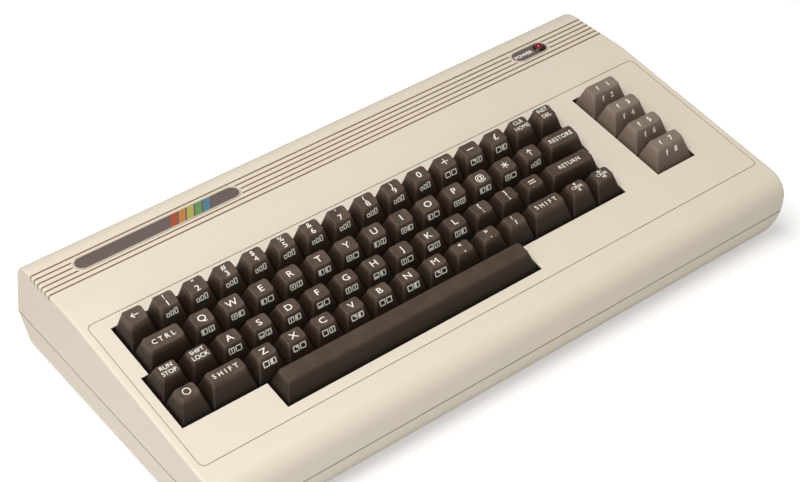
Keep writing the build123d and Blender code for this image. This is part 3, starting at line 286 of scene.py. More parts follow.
class EffectLibrary:
    """The shader effects that the materials are made of, one node group each."""

    def __init__(self) -> None:
        """Build every group."""
        self.grain = self._grain()
        self.mottle = self._mottle()
        self.wear = self._wear()
        self.deck = self._deck()
        self.grooves = self._grooves()
        self.panel_line = self._panel_line()

    def _start(self, name: str, inputs: list[GroupSocket],
               outputs: list[GroupSocket]) -> tuple[Shader, list[Socket], list[Socket]]:
        """Open an empty group.

        Args:
            name: Name of the group.
            inputs: Its inputs.
            outputs: Its outputs.

        Returns:
            The group's shader helper, its input sockets and its output sockets.
        """
        tree = bpy.data.node_groups.new(name, "ShaderNodeTree")
        for direction, sockets in (("INPUT", inputs), ("OUTPUT", outputs)):
            for wanted in sockets:
                made = tree.interface.new_socket(
                    wanted.name, in_out=direction, socket_type=wanted.kind)
                if wanted.value is not None:
                    made.default_value = wanted.value
        source = tree.nodes.new("NodeGroupInput")
        target = tree.nodes.new("NodeGroupOutput")
        # The last socket of both is an empty one for new links.
        return Shader(tree), list(source.outputs)[:-1], list(target.inputs)[:-1]

    def _grain(self) -> bpy.types.NodeTree:
        """Fine moulded texture as a bumped normal.

        Returns:
            The group.
        """
        shader, (place, scale, depth), outputs = self._start(
            "moulded_grain",
            [GroupSocket("Vector", VECTOR), GroupSocket("Scale", FLOAT, 1500.0),
             GroupSocket("Depth", FLOAT, 0.00003)],
            [GroupSocket("Normal", VECTOR)])
        coarse_cells, coarse_share = 0.22, 0.8
        fine = shader.noise(place, scale, 2.0, 0.6)
        coarse = shader.noise(place, shader.product(scale, coarse_cells), 2.0, 0.5)
        height = shader.math("ADD", fine, shader.product(coarse, coarse_share))
        bump = shader.node("ShaderNodeBump")
        shader.fill(bump, {"Strength": 1.0, "Distance": depth, "Height": height})
        shader.put(outputs[0], bump.outputs[0])
        return shader.tree

    def _mottle(self) -> bpy.types.NodeTree:
        """Slow drift of a colour's brightness.

        Returns:
            The group.
        """
        shader, inputs, outputs = self._start(
            "mottle",
            [GroupSocket("Color", COLOUR), GroupSocket("Vector", VECTOR),
             GroupSocket("Scale", FLOAT, 20.0), GroupSocket("Amount", FLOAT, 0.05)],
            [GroupSocket("Color", COLOUR)])
        drift = shader.noise(inputs[1], inputs[2], 4.0, 0.5)
        centred = shader.math("SUBTRACT", drift, 0.5)
        level = shader.math("ADD", shader.product(centred, shader.product(inputs[3], 3.0)), 1.0)
        node = shader.node("ShaderNodeVectorMath", inputs[0], operation="SCALE")
        shader.put(node.inputs["Scale"], level)
        shader.put(outputs[0], node.outputs[0])
        return shader.tree

    def _wear(self) -> bpy.types.NodeTree:
        """Handling marks: rubbed patches and fine scratches, as a mask.

        Returns:
            The group.
        """
        shader, (place, scale), outputs = self._start(
            "handling_wear",
            [GroupSocket("Vector", VECTOR), GroupSocket("Scale", FLOAT, 60.0)],
            [GroupSocket("Mask", FLOAT)])
        scratch_turn, scratch_stretch, scratch_cells = (0.0, 0.2, 0.6), (1.0, 0.06, 1.0), 22.0
        rubbed = shader.remap(shader.noise(place, scale, 5.0, 0.7), 0.5, 0.72)
        stretched = shader.node("ShaderNodeMapping", place, None, scratch_turn,
                                scratch_stretch).outputs[0]
        lines = shader.noise(stretched, shader.product(scale, scratch_cells), 2.0, 0.5)
        scratches = shader.remap(lines, 0.68, 0.74, 0.0, 0.6)
        shader.put(outputs[0], shader.math("MAXIMUM", rubbed, scratches))
        return shader.tree

    def _deck(self) -> bpy.types.NodeTree:
        """Place on the key deck: along it, up its slope and above it, in millimetres.

        Returns:
            The group.
        """
        shader, inputs, outputs = self._start(
            "deck_place", [GroupSocket("Vector", VECTOR)],
            [GroupSocket("Along", FLOAT), GroupSocket("Upslope", FLOAT),
             GroupSocket("Above", FLOAT)])
        place = shader.vector("MULTIPLY", inputs[0], (PER_METRE,) * 3)
        moved = shader.vector("SUBTRACT", place, tuple(DECK_ORIGIN))
        turned = shader.node("ShaderNodeVectorRotate", moved, None, None, DECK_TILT,
                             rotation_type="X_AXIS", invert=True).outputs[0]
        parts = shader.node("ShaderNodeSeparateXYZ", turned)
        for target, part in zip(outputs, parts.outputs):
            shader.put(target, part)
        return shader.tree

    def _grooves(self) -> bpy.types.NodeTree:
        """Floors and walls of the grooves across the rear strip, as a mask.

        Returns:
            The group.
        """
        shader, inputs, outputs = self._start(
            "strip_grooves", [GroupSocket("Vector", VECTOR)], [GroupSocket("Mask", FLOAT)])
        _, y, z = shader.millimetres(inputs[0])
        first, pitch, count, width = 58.0, 4.08, 6, 1.36
        shallowest, deepest = 0.1, 3.45
        start = shader.math("SUBTRACT", y, first - width / 2)
        run = shader.math("SUBTRACT", y, STRIP_START[0])
        surface = shader.math("ADD", shader.product(run, math.tan(STRIP_TILT)), STRIP_START[1])
        depth = shader.math("SUBTRACT", surface, z)
        mask = shader.product(
            shader.math("LESS_THAN", shader.math("MODULO", start, pitch), width),
            shader.math("GREATER_THAN", start, 0.0),
            shader.math("LESS_THAN", start, (count - 1) * pitch + width),
            shader.math("GREATER_THAN", depth, shallowest),
            shader.math("LESS_THAN", depth, deepest))
        shader.put(outputs[0], mask)
        return shader.tree

    def _panel_line(self) -> bpy.types.NodeTree:
        """Fine outline groove around the keyboard on the deck, as a mask.

        Returns:
            The group.
        """
        shader, inputs, outputs = self._start(
            "panel_outline",
            [GroupSocket("Along", FLOAT), GroupSocket("Upslope", FLOAT),
             GroupSocket("Above", FLOAT)],
            [GroupSocket("Mask", FLOAT)])
        left, right, front, rear, corner = -197.3, 197.335, -103.7, 9.4, 3.5
        inset, half_width, floor, rim = 0.25, 0.32, -0.6, -0.1
        gaps = []
        for value, low, high in ((inputs[0], left, right), (inputs[1], front, rear)):
            offset = shader.math("ABSOLUTE", shader.math("SUBTRACT", value, (low + high) / 2))
            gaps.append(shader.math("SUBTRACT", offset, (high - low) / 2 - corner))
        outside = [shader.math("MAXIMUM", gap, 0.0) for gap in gaps]
        squares = [shader.product(gap, gap) for gap in outside]
        reach = shader.math("SQRT", shader.math("ADD", *squares))
        inside = shader.math("MINIMUM", shader.math("MAXIMUM", *gaps), 0.0)
        distance = shader.math("SUBTRACT", shader.math("ADD", reach, inside), corner)
        off_line = shader.math("ABSOLUTE", shader.math("ADD", distance, inset))
        mask = shader.product(shader.math("LESS_THAN", off_line, half_width),
                              shader.math("LESS_THAN", inputs[2], rim),
                              shader.math("GREATER_THAN", inputs[2], floor))
        shader.put(outputs[0], mask)
        return shader.tree


class MaterialShader(Shader):
    """Helper of a material's tree, with the shared effects and the object coordinates."""

    def __init__(self, tree: bpy.types.NodeTree, effects: EffectLibrary) -> None:
        """Empty the tree and give it the object coordinates.

        Args:
            tree: The material's tree.
            effects: Shared effects.
        """
        super().__init__(tree)
        tree.nodes.clear()
        self.effects = effects
        self.place = self.node("ShaderNodeTexCoord").outputs["Object"]


# ---------------------------------------------------------------------------- finishes
@dataclass(frozen=True)
class Finish:
    """A procedural material: one colour with grain, drift, wear and roughness.

    Scales are in cells per metre, and the depth of the grain is in metres.
    """

    name: str
    colour: Colour
    roughness: float = 0.5
    metallic: float = 0.0
    grain_scale: float = 1500.0
    grain_depth: float = 0.00002
    mottle_scale: float = 25.0
    mottle: float = 0.03
    wear_scale: float = 60.0
    wear_gloss: float = 0.08
    coat: float = 0.0
    coat_roughness: float = 0.15
    specular: float = 0.5

    def paint(self, shader: MaterialShader) -> Socket:
        """Colour with a slow drift of its brightness."""
        return shader.group(shader.effects.mottle, self.colour, shader.place,
                            self.mottle_scale, self.mottle).outputs[0]

    def gloss(self, shader: MaterialShader) -> Socket:
        """Roughness, lower where the surface is rubbed."""
        mask = shader.group(shader.effects.wear, shader.place, self.wear_scale).outputs[0]
        return shader.math("ADD", shader.math("MULTIPLY", mask, -self.wear_gloss), self.roughness)

    def finish(self, shader: MaterialShader, surface: bpy.types.Node) -> None:
        """Set what only this kind of material has, which is nothing for a plain one."""

    def build(self, effects: EffectLibrary) -> bpy.types.Material:
        """Make the material.

        Args:
            effects: Shared effects.

        Returns:
            The material.
        """
        material = bpy.data.materials.new(self.name)
        material.use_nodes = True
        shader = MaterialShader(material.node_tree, effects)
        surface = shader.node("ShaderNodeBsdfPrincipled")
        output = shader.node("ShaderNodeOutputMaterial", surface.outputs[0])
        output.is_active_output = True
        grain = shader.group(effects.grain, shader.place, self.grain_scale, self.grain_depth)
        shader.fill(surface, {
            "Base Color": self.paint(shader), "Roughness": self.gloss(shader),
            "Normal": grain.outputs[0], "Metallic": self.metallic,
            "Specular IOR Level": self.specular, "Coat Weight": self.coat,
            "Coat Roughness": self.coat_roughness})
        self.finish(shader, surface)
        material.diffuse_color = (*self.colour, 1.0)
        return material


@dataclass(frozen=True)
class CaseFinish(Finish):
    """Cream case plastic: aged, with painted shade in the grooves, the panel line, the seam and the
    key wells.
    """

    aged_colour: Colour = linear(228, 212, 182)
    aged_share: float = 0.22
    speck_colour: Colour = linear(150, 136, 112)
    speck_share: float = 0.18
    # Painted shade in the grooves across the rear strip.
    groove_shade_colour: Colour = linear(184, 162, 132)
    # Painted shade in the panel line groove around the keyboard.
    panel_line_shade_colour: Colour = linear(184, 164, 136)
    # Painted shadow line along the seam between the shells.
    seam_shadow_colour: Colour = linear(126, 106, 86)
    seam_mm: float = 24.5
    seam_width_mm: float = 0.8
    # Painted shade on the walls of the key wells.
    well_shade_colour: Colour = linear(62, 52, 42)
    well_half_length_mm: float = 193.0
    well_half_depth_mm: float = 51.5
    well_floor_mm: float = -14.0

    def _wells(self, shader: MaterialShader, deck: bpy.types.Node) -> Socket:
        """Walls of the openings that the keys stand in, which take painted shade.

        Args:
            shader: Helper of the material's tree.
            deck: Group node with the place on the key deck.

        Returns:
            A mask's socket, 1 on the walls.
        """
        along, upslope, above = deck.outputs
        off_middle = shader.math("ADD", upslope, KEY_ROWS / 2 * KEY_PITCH)
        return shader.product(
            shader.remap(above, -1.0, -0.1, 1.0, 0.0),
            shader.math("GREATER_THAN", above, self.well_floor_mm),
            shader.math("LESS_THAN", shader.math("ABSOLUTE", along), self.well_half_length_mm),
            shader.math("LESS_THAN", shader.math("ABSOLUTE", off_middle),
                        self.well_half_depth_mm))

    def paint(self, shader: MaterialShader) -> Socket:
        """Cream with yellowed patches and painted shade in the grooves, panel line, key wells and
        seam.

        Args:
            shader: Helper of the material's tree.

        Returns:
            The colour's socket.
        """
        place, effects = shader.place, shader.effects
        ageing = shader.remap(shader.noise(place, 5.0, 3.0), 0.42, 0.75, 0.0, self.aged_share)
        specks = shader.remap(shader.noise(place, 700.0, 2.0), 0.72, 0.8, 0.0, self.speck_share)
        deck = shader.group(effects.deck, place)
        off_seam = shader.math("SUBTRACT", shader.millimetres(place)[2], self.seam_mm)
        colour = super().paint(shader)
        # Layers: yellowed patches, specks, then painted shade in the grooves, the panel line, the
        # key wells and the seam.
        for mask, layer in (
                (ageing, self.aged_colour),
                (specks, self.speck_colour),
                (shader.group(effects.grooves, place).outputs[0], self.groove_shade_colour),
                (shader.group(effects.panel_line, *deck.outputs).outputs[0], self.panel_line_shade_colour),
                # Painted shade on the walls of the key wells.
                (self._wells(shader, deck), self.well_shade_colour),
                # Painted shadow line along the seam between the shells.
                (shader.math("LESS_THAN", shader.math("ABSOLUTE", off_seam),
                             self.seam_width_mm / 2), self.seam_shadow_colour)):
            colour = shader.blend(mask, colour, layer)
        return colour


@dataclass(frozen=True)
class KeyFinish(Finish):
    """Key plastic rubbed smoother on top and lighter there as wear and painted light, with painted
    shade down the skirts.
    """

    # Colour of the tops: finger wear in patches, and painted light on the top faces.
    rubbed: Colour = linear(109, 92, 81)
    worn_and_lit_least: float = 0.4
    worn_and_lit_most: float = 0.75
    # Painted shade down the skirts, darkest at the foot.
    shaded: Colour = linear(24, 17, 13)
    shaded_share: float = 0.8
    shaded_up_to_mm: float = 8.5
    face_from_mm: float = 7.5
    face_full_mm: float = 11.0
    face_shine: float = 0.1

    def _above(self, shader: MaterialShader) -> Socket:
        """Height above the key deck in millimetres."""
        return shader.group(shader.effects.deck, shader.place).outputs[2]

    def _face(self, shader: MaterialShader, above: Socket) -> Socket:
        """Mask that is 1 at the finger faces, from the height above the deck."""
        return shader.remap(above, self.face_from_mm, self.face_full_mm)

    def paint(self, shader: MaterialShader) -> Socket:
        """Brown, lighter on the tops as finger wear and painted light, and darker towards the foot
        as painted shade.

        Args:
            shader: Helper of the material's tree.

        Returns:
            The colour's socket.
        """
        above = self._above(shader)
        # Painted shade towards the foot of each cap.
        depth = shader.remap(above, 0.0, self.shaded_up_to_mm, self.shaded_share, 0.0)
        skirt = shader.blend(depth, super().paint(shader), self.shaded)
        # Lighter tops: worn patches that also carry painted light.
        patches = shader.remap(shader.noise(shader.place, 140.0, 4.0), 0.4, 0.7,
                               self.worn_and_lit_least, self.worn_and_lit_most)
        return shader.blend(shader.product(self._face(shader, above), patches), skirt,
                            self.rubbed)

    def gloss(self, shader: MaterialShader) -> Socket:
        """Satin sides and shinier finger faces."""
        face = self._face(shader, self._above(shader))
        return shader.math("ADD", super().gloss(shader), shader.product(face, -self.face_shine))


@dataclass(frozen=True)
class BadgeFinish(Finish):
    """Printed plate: dark field in a pale rim, with slanted colour bars on the long one."""

    rim_colour: Colour = linear(214, 204, 188)
    middle_mm: Point = (-123.8, 70.24)
    length_mm: float = 109.4
    width_mm: float = 11.6
    rim_mm: float = 0.82
    bars: tuple[Colour, ...] = ()
    bars_start_mm: float = 0.0
    bar_width_mm: float = 4.4
    bar_pitch_mm: float = 5.5
    bar_slant: float = 0.6

    def paint(self, shader: MaterialShader) -> Socket:
        """Field, rim and bars.

        Args:
            shader: Helper of the material's tree.

        Returns:
            The colour's socket.
        """
        colour = super().paint(shader)
        x, y, _ = shader.millimetres(shader.place)
        along = shader.math("SUBTRACT", x, self.middle_mm[0])
        across = shader.math("SUBTRACT", y, self.middle_mm[1])
        slanted = shader.math("SUBTRACT", along, shader.product(across, self.bar_slant))
        for index, bar in enumerate(self.bars):
            start = self.bars_start_mm + index * self.bar_pitch_mm
            inside = shader.product(shader.math("GREATER_THAN", slanted, start),
                                    shader.math("LESS_THAN", slanted, start + self.bar_width_mm))
            colour = shader.blend(inside, colour, bar)
        straight = (self.length_mm - self.width_mm) / 2
        beyond = shader.math("MAXIMUM", shader.math("SUBTRACT", shader.math("ABSOLUTE", along),
                                                    straight), 0.0)
        squares = shader.math("ADD", shader.product(beyond, beyond),
                              shader.product(across, across))
        rim = shader.math("GREATER_THAN", shader.math("SQRT", squares),
                          self.width_mm / 2 - self.rim_mm)
        return shader.blend(rim, colour, self.rim_colour)


@dataclass(frozen=True)
class MetalFinish(Finish):
    """Bare metal with fine lines drawn along one direction."""

    stretch: tuple[float, float, float] = (1.0, 40.0, 40.0)
    line_swing: float = 0.08

    def gloss(self, shader: MaterialShader) -> Socket:
        """Roughness that varies along the drawn lines.

        Args:
            shader: Helper of the material's tree.

        Returns:
            The roughness socket.
        """
        drawn = shader.vector("MULTIPLY", shader.place, self.stretch)
        lines = shader.remap(shader.noise(drawn, 120.0, 2.0), 0.3, 0.7,
                             -self.line_swing, self.line_swing)
        return shader.math("ADD", super().gloss(shader), lines)


@dataclass(frozen=True)
class FuseFinish(Finish):
    """Clear tube with a metal cap over each end."""

    middle_mm: float = 140.0
    half_glass_mm: float = 5.2

    def finish(self, shader: MaterialShader, surface: bpy.types.Node) -> None:
        """Let light through between the caps.

        Args:
            shader: Helper of the material's tree.
            surface: The Principled node.
        """
        offset = shader.math("SUBTRACT", shader.millimetres(shader.place)[0], self.middle_mm)
        glass = shader.math("LESS_THAN", shader.math("ABSOLUTE", offset), self.half_glass_mm)
        shader.fill(surface, {"Transmission Weight": glass,
                              "Metallic": shader.math("SUBTRACT", 1.0, glass)})


@dataclass(frozen=True)
class RibbonFinish(Finish):
    """Flat cable with a rib for each wire, with painted shade between the ribs."""

    pitch_mm: float = 1.27
    valley_shade_colour: Colour = linear(60, 60, 64)
    valley_shade_share: float = 0.7

    def paint(self, shader: MaterialShader) -> Socket:
        """Grey with painted shade in the valleys between the ribs.

        Args:
            shader: Helper of the material's tree.

        Returns:
            The colour's socket.
        """
        turns = shader.product(shader.millimetres(shader.place)[0], math.tau / self.pitch_mm)
        # Painted shade in the valleys between the ribs.
        valley_shade = shader.remap(shader.math("COSINE", turns), 0.2, 1.0, 0.0, self.valley_shade_share)
        return shader.blend(valley_shade, super().paint(shader), self.valley_shade_colour)


@dataclass(frozen=True)
class BoardFinish(Finish):
    """Solder mask with lighter tracks showing through in blocks."""

    track: Colour = linear(62, 118, 66)
    track_share: float = 0.6
    track_width: float = 0.6 * MM
    track_length: float = 19 * MM
    track_pitch: float = 2.1 * MM

    def paint(self, shader: MaterialShader) -> Socket:
        """Green with straight lighter tracks in blocks.

        Args:
            shader: Helper of the material's tree.

        Returns:
            The colour's socket.
        """
        brick = shader.node("ShaderNodeTexBrick", shader.place)
        shader.fill(brick, {
            "Color1": WHITE, "Color2": WHITE, "Mortar": BLACK, "Scale": 1.0, "Bias": 0.0,
            "Mortar Size": self.track_width, "Mortar Smooth": 0.0,
            "Brick Width": self.track_length, "Row Height": self.track_pitch})
        lines = shader.math("SUBTRACT", 1.0, brick.outputs["Fac"])
        blocks = shader.remap(shader.noise(shader.place, 45.0, 1.0), 0.45, 0.5)
        return shader.blend(shader.product(lines, blocks, self.track_share),
                            super().paint(shader), self.track)


@dataclass(frozen=True)
class LampFinish(Finish):
    """Tinted clear dome of an unlit lamp."""

    clearness: float = 0.35
    refraction: float = 1.5

    def finish(self, shader: MaterialShader, surface: bpy.types.Node) -> None:
        """Let some light into the dome."""
        shader.fill(surface, {"Transmission Weight": self.clearness, "IOR": self.refraction})


BAR_COLOURS = (linear(176, 84, 58), linear(196, 132, 70), linear(186, 174, 92),
               linear(108, 152, 92), linear(84, 132, 152))

FINISHES: dict[str, Finish] = {
    "case": CaseFinish("case_cream", linear(228, 218, 201), roughness=0.46, grain_scale=2200.0,
                       grain_depth=0.000018, mottle_scale=12.0, mottle=0.012, wear_scale=25.0,
                       wear_gloss=0.06),
    # Both key finishes have painted light on the tops and painted shade down the skirts.
    "key": KeyFinish("key_brown", linear(58, 44, 34), grain_scale=2600.0, mottle_scale=60.0,
                     mottle=0.05, wear_scale=110.0, wear_gloss=0.1, specular=0.3),
    "function_key": KeyFinish("key_grey_brown", linear(119, 105, 93), grain_scale=2600.0,
                              mottle_scale=60.0, mottle=0.04, wear_scale=110.0, specular=0.3,
                              rubbed=linear(147, 132, 119), shaded=linear(94, 80, 68)),
    "legend": Finish("legend_ink", linear(244, 241, 232), roughness=0.55, mottle_scale=900.0,
                     mottle=0.08, grain_depth=0.000005),
    "main_badge": BadgeFinish("badge_long", linear(112, 98, 94), roughness=0.4, metallic=0.15,
                              grain_scale=3000.0, grain_depth=0.000006, mottle_scale=40.0,
                              bars=BAR_COLOURS, bars_start_mm=8.0),
    "power_badge": BadgeFinish("badge_short", linear(112, 98, 94), roughness=0.4, metallic=0.15,
                               grain_scale=3000.0, grain_depth=0.000006,
                               middle_mm=(151.4, 70.24), length_mm=27.6),
    "lamp": LampFinish("lamp_red", linear(150, 20, 26), roughness=0.12, mottle=0.02,
                       grain_depth=0.000002, wear_gloss=0.02, coat=0.5),
    "black_gloss": Finish("black_gloss", linear(26, 24, 24), roughness=0.25, mottle=0.04,
                          grain_depth=0.000004),
    "black_plastic": Finish("black_plastic", linear(25, 24, 23), roughness=0.52, mottle=0.06,
                            grain_scale=1800.0, grain_depth=0.00003),
    "cable": RibbonFinish("cable_grey", linear(128, 128, 130)),
    "board": BoardFinish("board_green", linear(30, 84, 42), roughness=0.3, mottle_scale=50.0,
                         grain_scale=900.0, grain_depth=0.00001, coat=0.3),
    "steel": MetalFinish("screw_steel", linear(176, 174, 168), roughness=0.32, metallic=1.0,
                         grain_depth=0.000006),
    "spring_steel": MetalFinish("spring_steel", linear(160, 160, 160), roughness=0.28,
                                metallic=1.0, grain_depth=0.000004),
    "header": Finish("header_white", linear(226, 220, 202)),
    "chip": Finish("chip_black", linear(30, 30, 32), roughness=0.6, grain_scale=2200.0,
                   grain_depth=0.00003, mottle=0.08),
    "capacitor": Finish("capacitor_blue", linear(34, 56, 118), roughness=0.3, coat=0.4,
                        grain_depth=0.000005),
    "fuse": FuseFinish("fuse_glass", linear(214, 218, 216), roughness=0.1, mottle=0.01,
                       grain_depth=0.000002, wear_gloss=0.02),
    "brass": MetalFinish("contact_brass", linear(206, 172, 96), roughness=0.3, metallic=1.0,
                         grain_depth=0.000005),
    "heat_sink": MetalFinish("heat_sink", linear(186, 188, 190), roughness=0.38, metallic=1.0,
                             stretch=(1.0, 60.0, 60.0), grain_depth=0.00001),
    "tin": MetalFinish("tin_plate", linear(178, 176, 170), roughness=0.36, metallic=1.0,
                       stretch=(30.0, 1.0, 30.0), grain_depth=0.00001),
    "rubber": Finish("foot_rubber", linear(38, 37, 36), roughness=0.75, mottle=0.1,
                     grain_scale=1200.0, grain_depth=0.00005),
}


class Paintbox:
    """Builds each finish once and hands its material out."""

    def __init__(self) -> None:
        """Build the shared effects and start with no materials."""
        self.effects = EffectLibrary()
        self.made: dict[str, bpy.types.Material] = {}

    def get(self, name: str) -> bpy.types.Material:
        """Return a finish's material.

        Args:
            name: Key in FINISHES.

        Returns:
            The material.
        """
        if name not in self.made:
            self.made[name] = FINISHES[name].build(self.effects)
        return self.made[name]


# ---------------------------------------------------------------------------- pieces
@dataclass
class Workshop:
    """What every sub-assembly needs: the loaded nodes, their bodies and the paints."""

    nodes: dict[str, bpy.types.Object]
    bodies: dict[str, str]
    paints: Paintbox

    def dress(self, finish: str, *names: str) -> None:
        """Give CAD nodes a finish.

        Args:
            finish: Key in FINISHES.
            *names: CAD nodes.
        """
        for name in names:
            materials = self.nodes[name].data.materials
            materials.clear()
            materials.append(self.paints.get(finish))

    def surface(self, node: str) -> BVHTree:
        """Search tree of a CAD node's faces."""
        mesh = self.nodes[node].data
        return BVHTree.FromPolygons([v.co for v in mesh.vertices],
                                    [tuple(p.vertices) for p in mesh.polygons])

    def piece(self, name: str, mesh: bpy.types.Mesh, body: str, slot: Slot,
              finish: str) -> None:
        """Add a Blender-made piece to the object.

        Args:
            name: The piece's name.
            mesh: Its mesh, in the row frame.
            body: CAD body that it moves with.
            slot: The record's slot of the piece; not used.
            finish: Key in FINISHES.
        """
        mesh.materials.clear()
        mesh.materials.append(self.paints.get(finish))
        made = bpy.data.objects.new(name, mesh)
        bpy.context.scene.collection.objects.link(made)
        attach(made, body)


@dataclass
class MeshDraft:
    """Points and faces gathered for one piece."""

    points: list[Vector] = field(default_factory=list)
    faces: Faces = field(default_factory=list)

    def add(self, points: list[Vector], faces: Faces) -> None:
        """Append a part.

        Args:
            points: Its points.
            faces: Its faces, as indices into those points.
        """
        start = len(self.points)
        self.points.extend(points)
        self.faces.extend(tuple(start + index for index in face) for face in faces)

    def add_mesh(self, mesh: bpy.types.Mesh) -> None:
        """Append a mesh."""
        self.add([v.co.copy() for v in mesh.vertices], [tuple(p.vertices) for p in mesh.polygons])

    def box(self, low: tuple[float, float, float], high: tuple[float, float, float]) -> None:
        """Append a box with its faces outwards.

        Args:
            low: One corner in millimetres.
            high: The opposite corner in millimetres.
        """
        xs, ys, zs = (sorted(ends) for ends in zip(low, high))
        corners = [Vector((x, y, z)) * MM for x in xs for y in ys for z in zs]
        self.add(corners, [(0, 1, 3, 2), (4, 6, 7, 5), (0, 4, 5, 1), (2, 3, 7, 6),
                           (0, 2, 6, 4), (1, 5, 7, 3)])

    def mesh(self, name: str) -> bpy.types.Mesh:
        """Turn the draft into a mesh.

        Args:
            name: The mesh's name.

        Returns:
            The mesh.
        """
        made = bpy.data.meshes.new(name)
        made.from_pydata(self.points, [], self.faces)
        made.update()
        return made


def land(tree: BVHTree, point: Vector, normal: Vector, ahead: float, reach: float) -> Vector:
    """Bring a point onto a surface and just clear of it.

    Args:
        tree: Search tree of the surface.
        point: A place near the surface in metres.
        normal: Way out of the surface.
        ahead: How far outside the point the search starts, in millimetres.
        reach: How far the search goes, in millimetres.

    Returns:
        The place in metres, PRINT_LIFT off the surface.
    """
    hit = tree.ray_cast(point + normal * ahead * MM, -normal, reach * MM)[0]
    return (point if hit is None else hit) + normal * PRINT_LIFT * MM


class Repeater:
    """Sets a small piece at many points with geometry nodes, and returns one plain mesh."""

    def __init__(self) -> None:
        """Build the node group."""
        tree = bpy.data.node_groups.new("repeat_at_points", "GeometryNodeTree")
        sockets = tree.interface
        sockets.new_socket("Geometry", in_out="INPUT", socket_type="NodeSocketGeometry")
        piece = sockets.new_socket("Piece", in_out="INPUT", socket_type="NodeSocketObject")
        turn = sockets.new_socket("Turn", in_out="INPUT", socket_type="NodeSocketVector")
        finish = sockets.new_socket("Finish", in_out="INPUT", socket_type="NodeSocketMaterial")
        sockets.new_socket("Geometry", in_out="OUTPUT", socket_type="NodeSocketGeometry")
        source, target, info, rotation, place, real, paint = (tree.nodes.new(kind) for kind in (
            "NodeGroupInput", "NodeGroupOutput", "GeometryNodeObjectInfo",
            "FunctionNodeEulerToRotation", "GeometryNodeInstanceOnPoints",
            "GeometryNodeRealizeInstances", "GeometryNodeSetMaterial"))
        for giver, output, taker, entry in (
                (source, "Geometry", place, "Points"), (source, "Piece", info, "Object"),
                (info, "Geometry", place, "Instance"), (source, "Turn", rotation, "Euler"),
                (rotation, "Rotation", place, "Rotation"),
                (place, "Instances", real, "Geometry"), (real, "Geometry", paint, "Geometry"),
                (source, "Finish", paint, "Material"), (paint, "Geometry", target, "Geometry")):
            tree.links.new(giver.outputs[output], taker.inputs[entry])
        self.tree = tree
        self.inputs = {"piece": piece.identifier, "turn": turn.identifier,
                       "finish": finish.identifier}

    def repeat(self, draft: MeshDraft, points: list[Vector], turn: Euler,
               material: bpy.types.Material) -> bpy.types.Mesh:
        """Copy a small piece to each point.

        Args:
            draft: The small piece, about its own origin.
            points: Places in the row frame.
            turn: Turn of every copy.
            material: Material of the copies.

        Returns:
            One mesh with all the copies.
        """
        scene = bpy.context.scene.collection
        small = bpy.data.objects.new("repeated_piece", draft.mesh("repeated_piece"))
        cloud = bpy.data.meshes.new("repeat_points")
        cloud.from_pydata(points, [], [])
        holder = bpy.data.objects.new("repeat_points", cloud)
        scene.objects.link(small)
        scene.objects.link(holder)
        modifier = holder.modifiers.new("repeat", "NODES")
        modifier.node_group = self.tree
        modifier[self.inputs["piece"]] = small
        modifier[self.inputs["turn"]] = tuple(turn)
        modifier[self.inputs["finish"]] = material
        graph = bpy.context.evaluated_depsgraph_get()
        mesh = bpy.data.meshes.new_from_object(holder.evaluated_get(graph))
        holder.modifiers.clear()
        for temporary in (holder, small):
            bpy.data.objects.remove(temporary)
        return mesh


# ---------------------------------------------------------------------------- lettering
@dataclass(frozen=True)
class WordStyle:
    """How a line of text is drawn.

    The height is a capital letter's in millimetres. Spacing and stretch are 1 for the font's own
    gaps and widths. Bold is how much the strokes are fattened, as a share of the height.
    """

    height: float
    spacing: float = 1.0
    bold: float = 0.016
    stretch: float = 1.0


CURSOR_WORD = WordStyle(2.2, stretch=1.1)
FUNCTION_WORD = WordStyle(3.5, 1.5, 0.03)
FUNCTION_FRONT_WORD = WordStyle(3.4, 1.4, 0.045)
WIDE_SHORT_WORD = WordStyle(3.1, 1.6)
WIDE_LONG_WORD = WordStyle(2.9, 1.12)
NARROW_WORD = WordStyle(2.75)
NARROW_LONG_WORD = WordStyle(2.475)
POWER_WORD = WordStyle(2.9, bold=0.045)


def outline(low: Point, high: Point) -> Loop:
    """Closed line round a rectangle between two corners."""
    (x0, y0), (x1, y1) = low, high
    return [(x0, y0), (x1, y0), (x1, y1), (x0, y1), (x0, y0)]


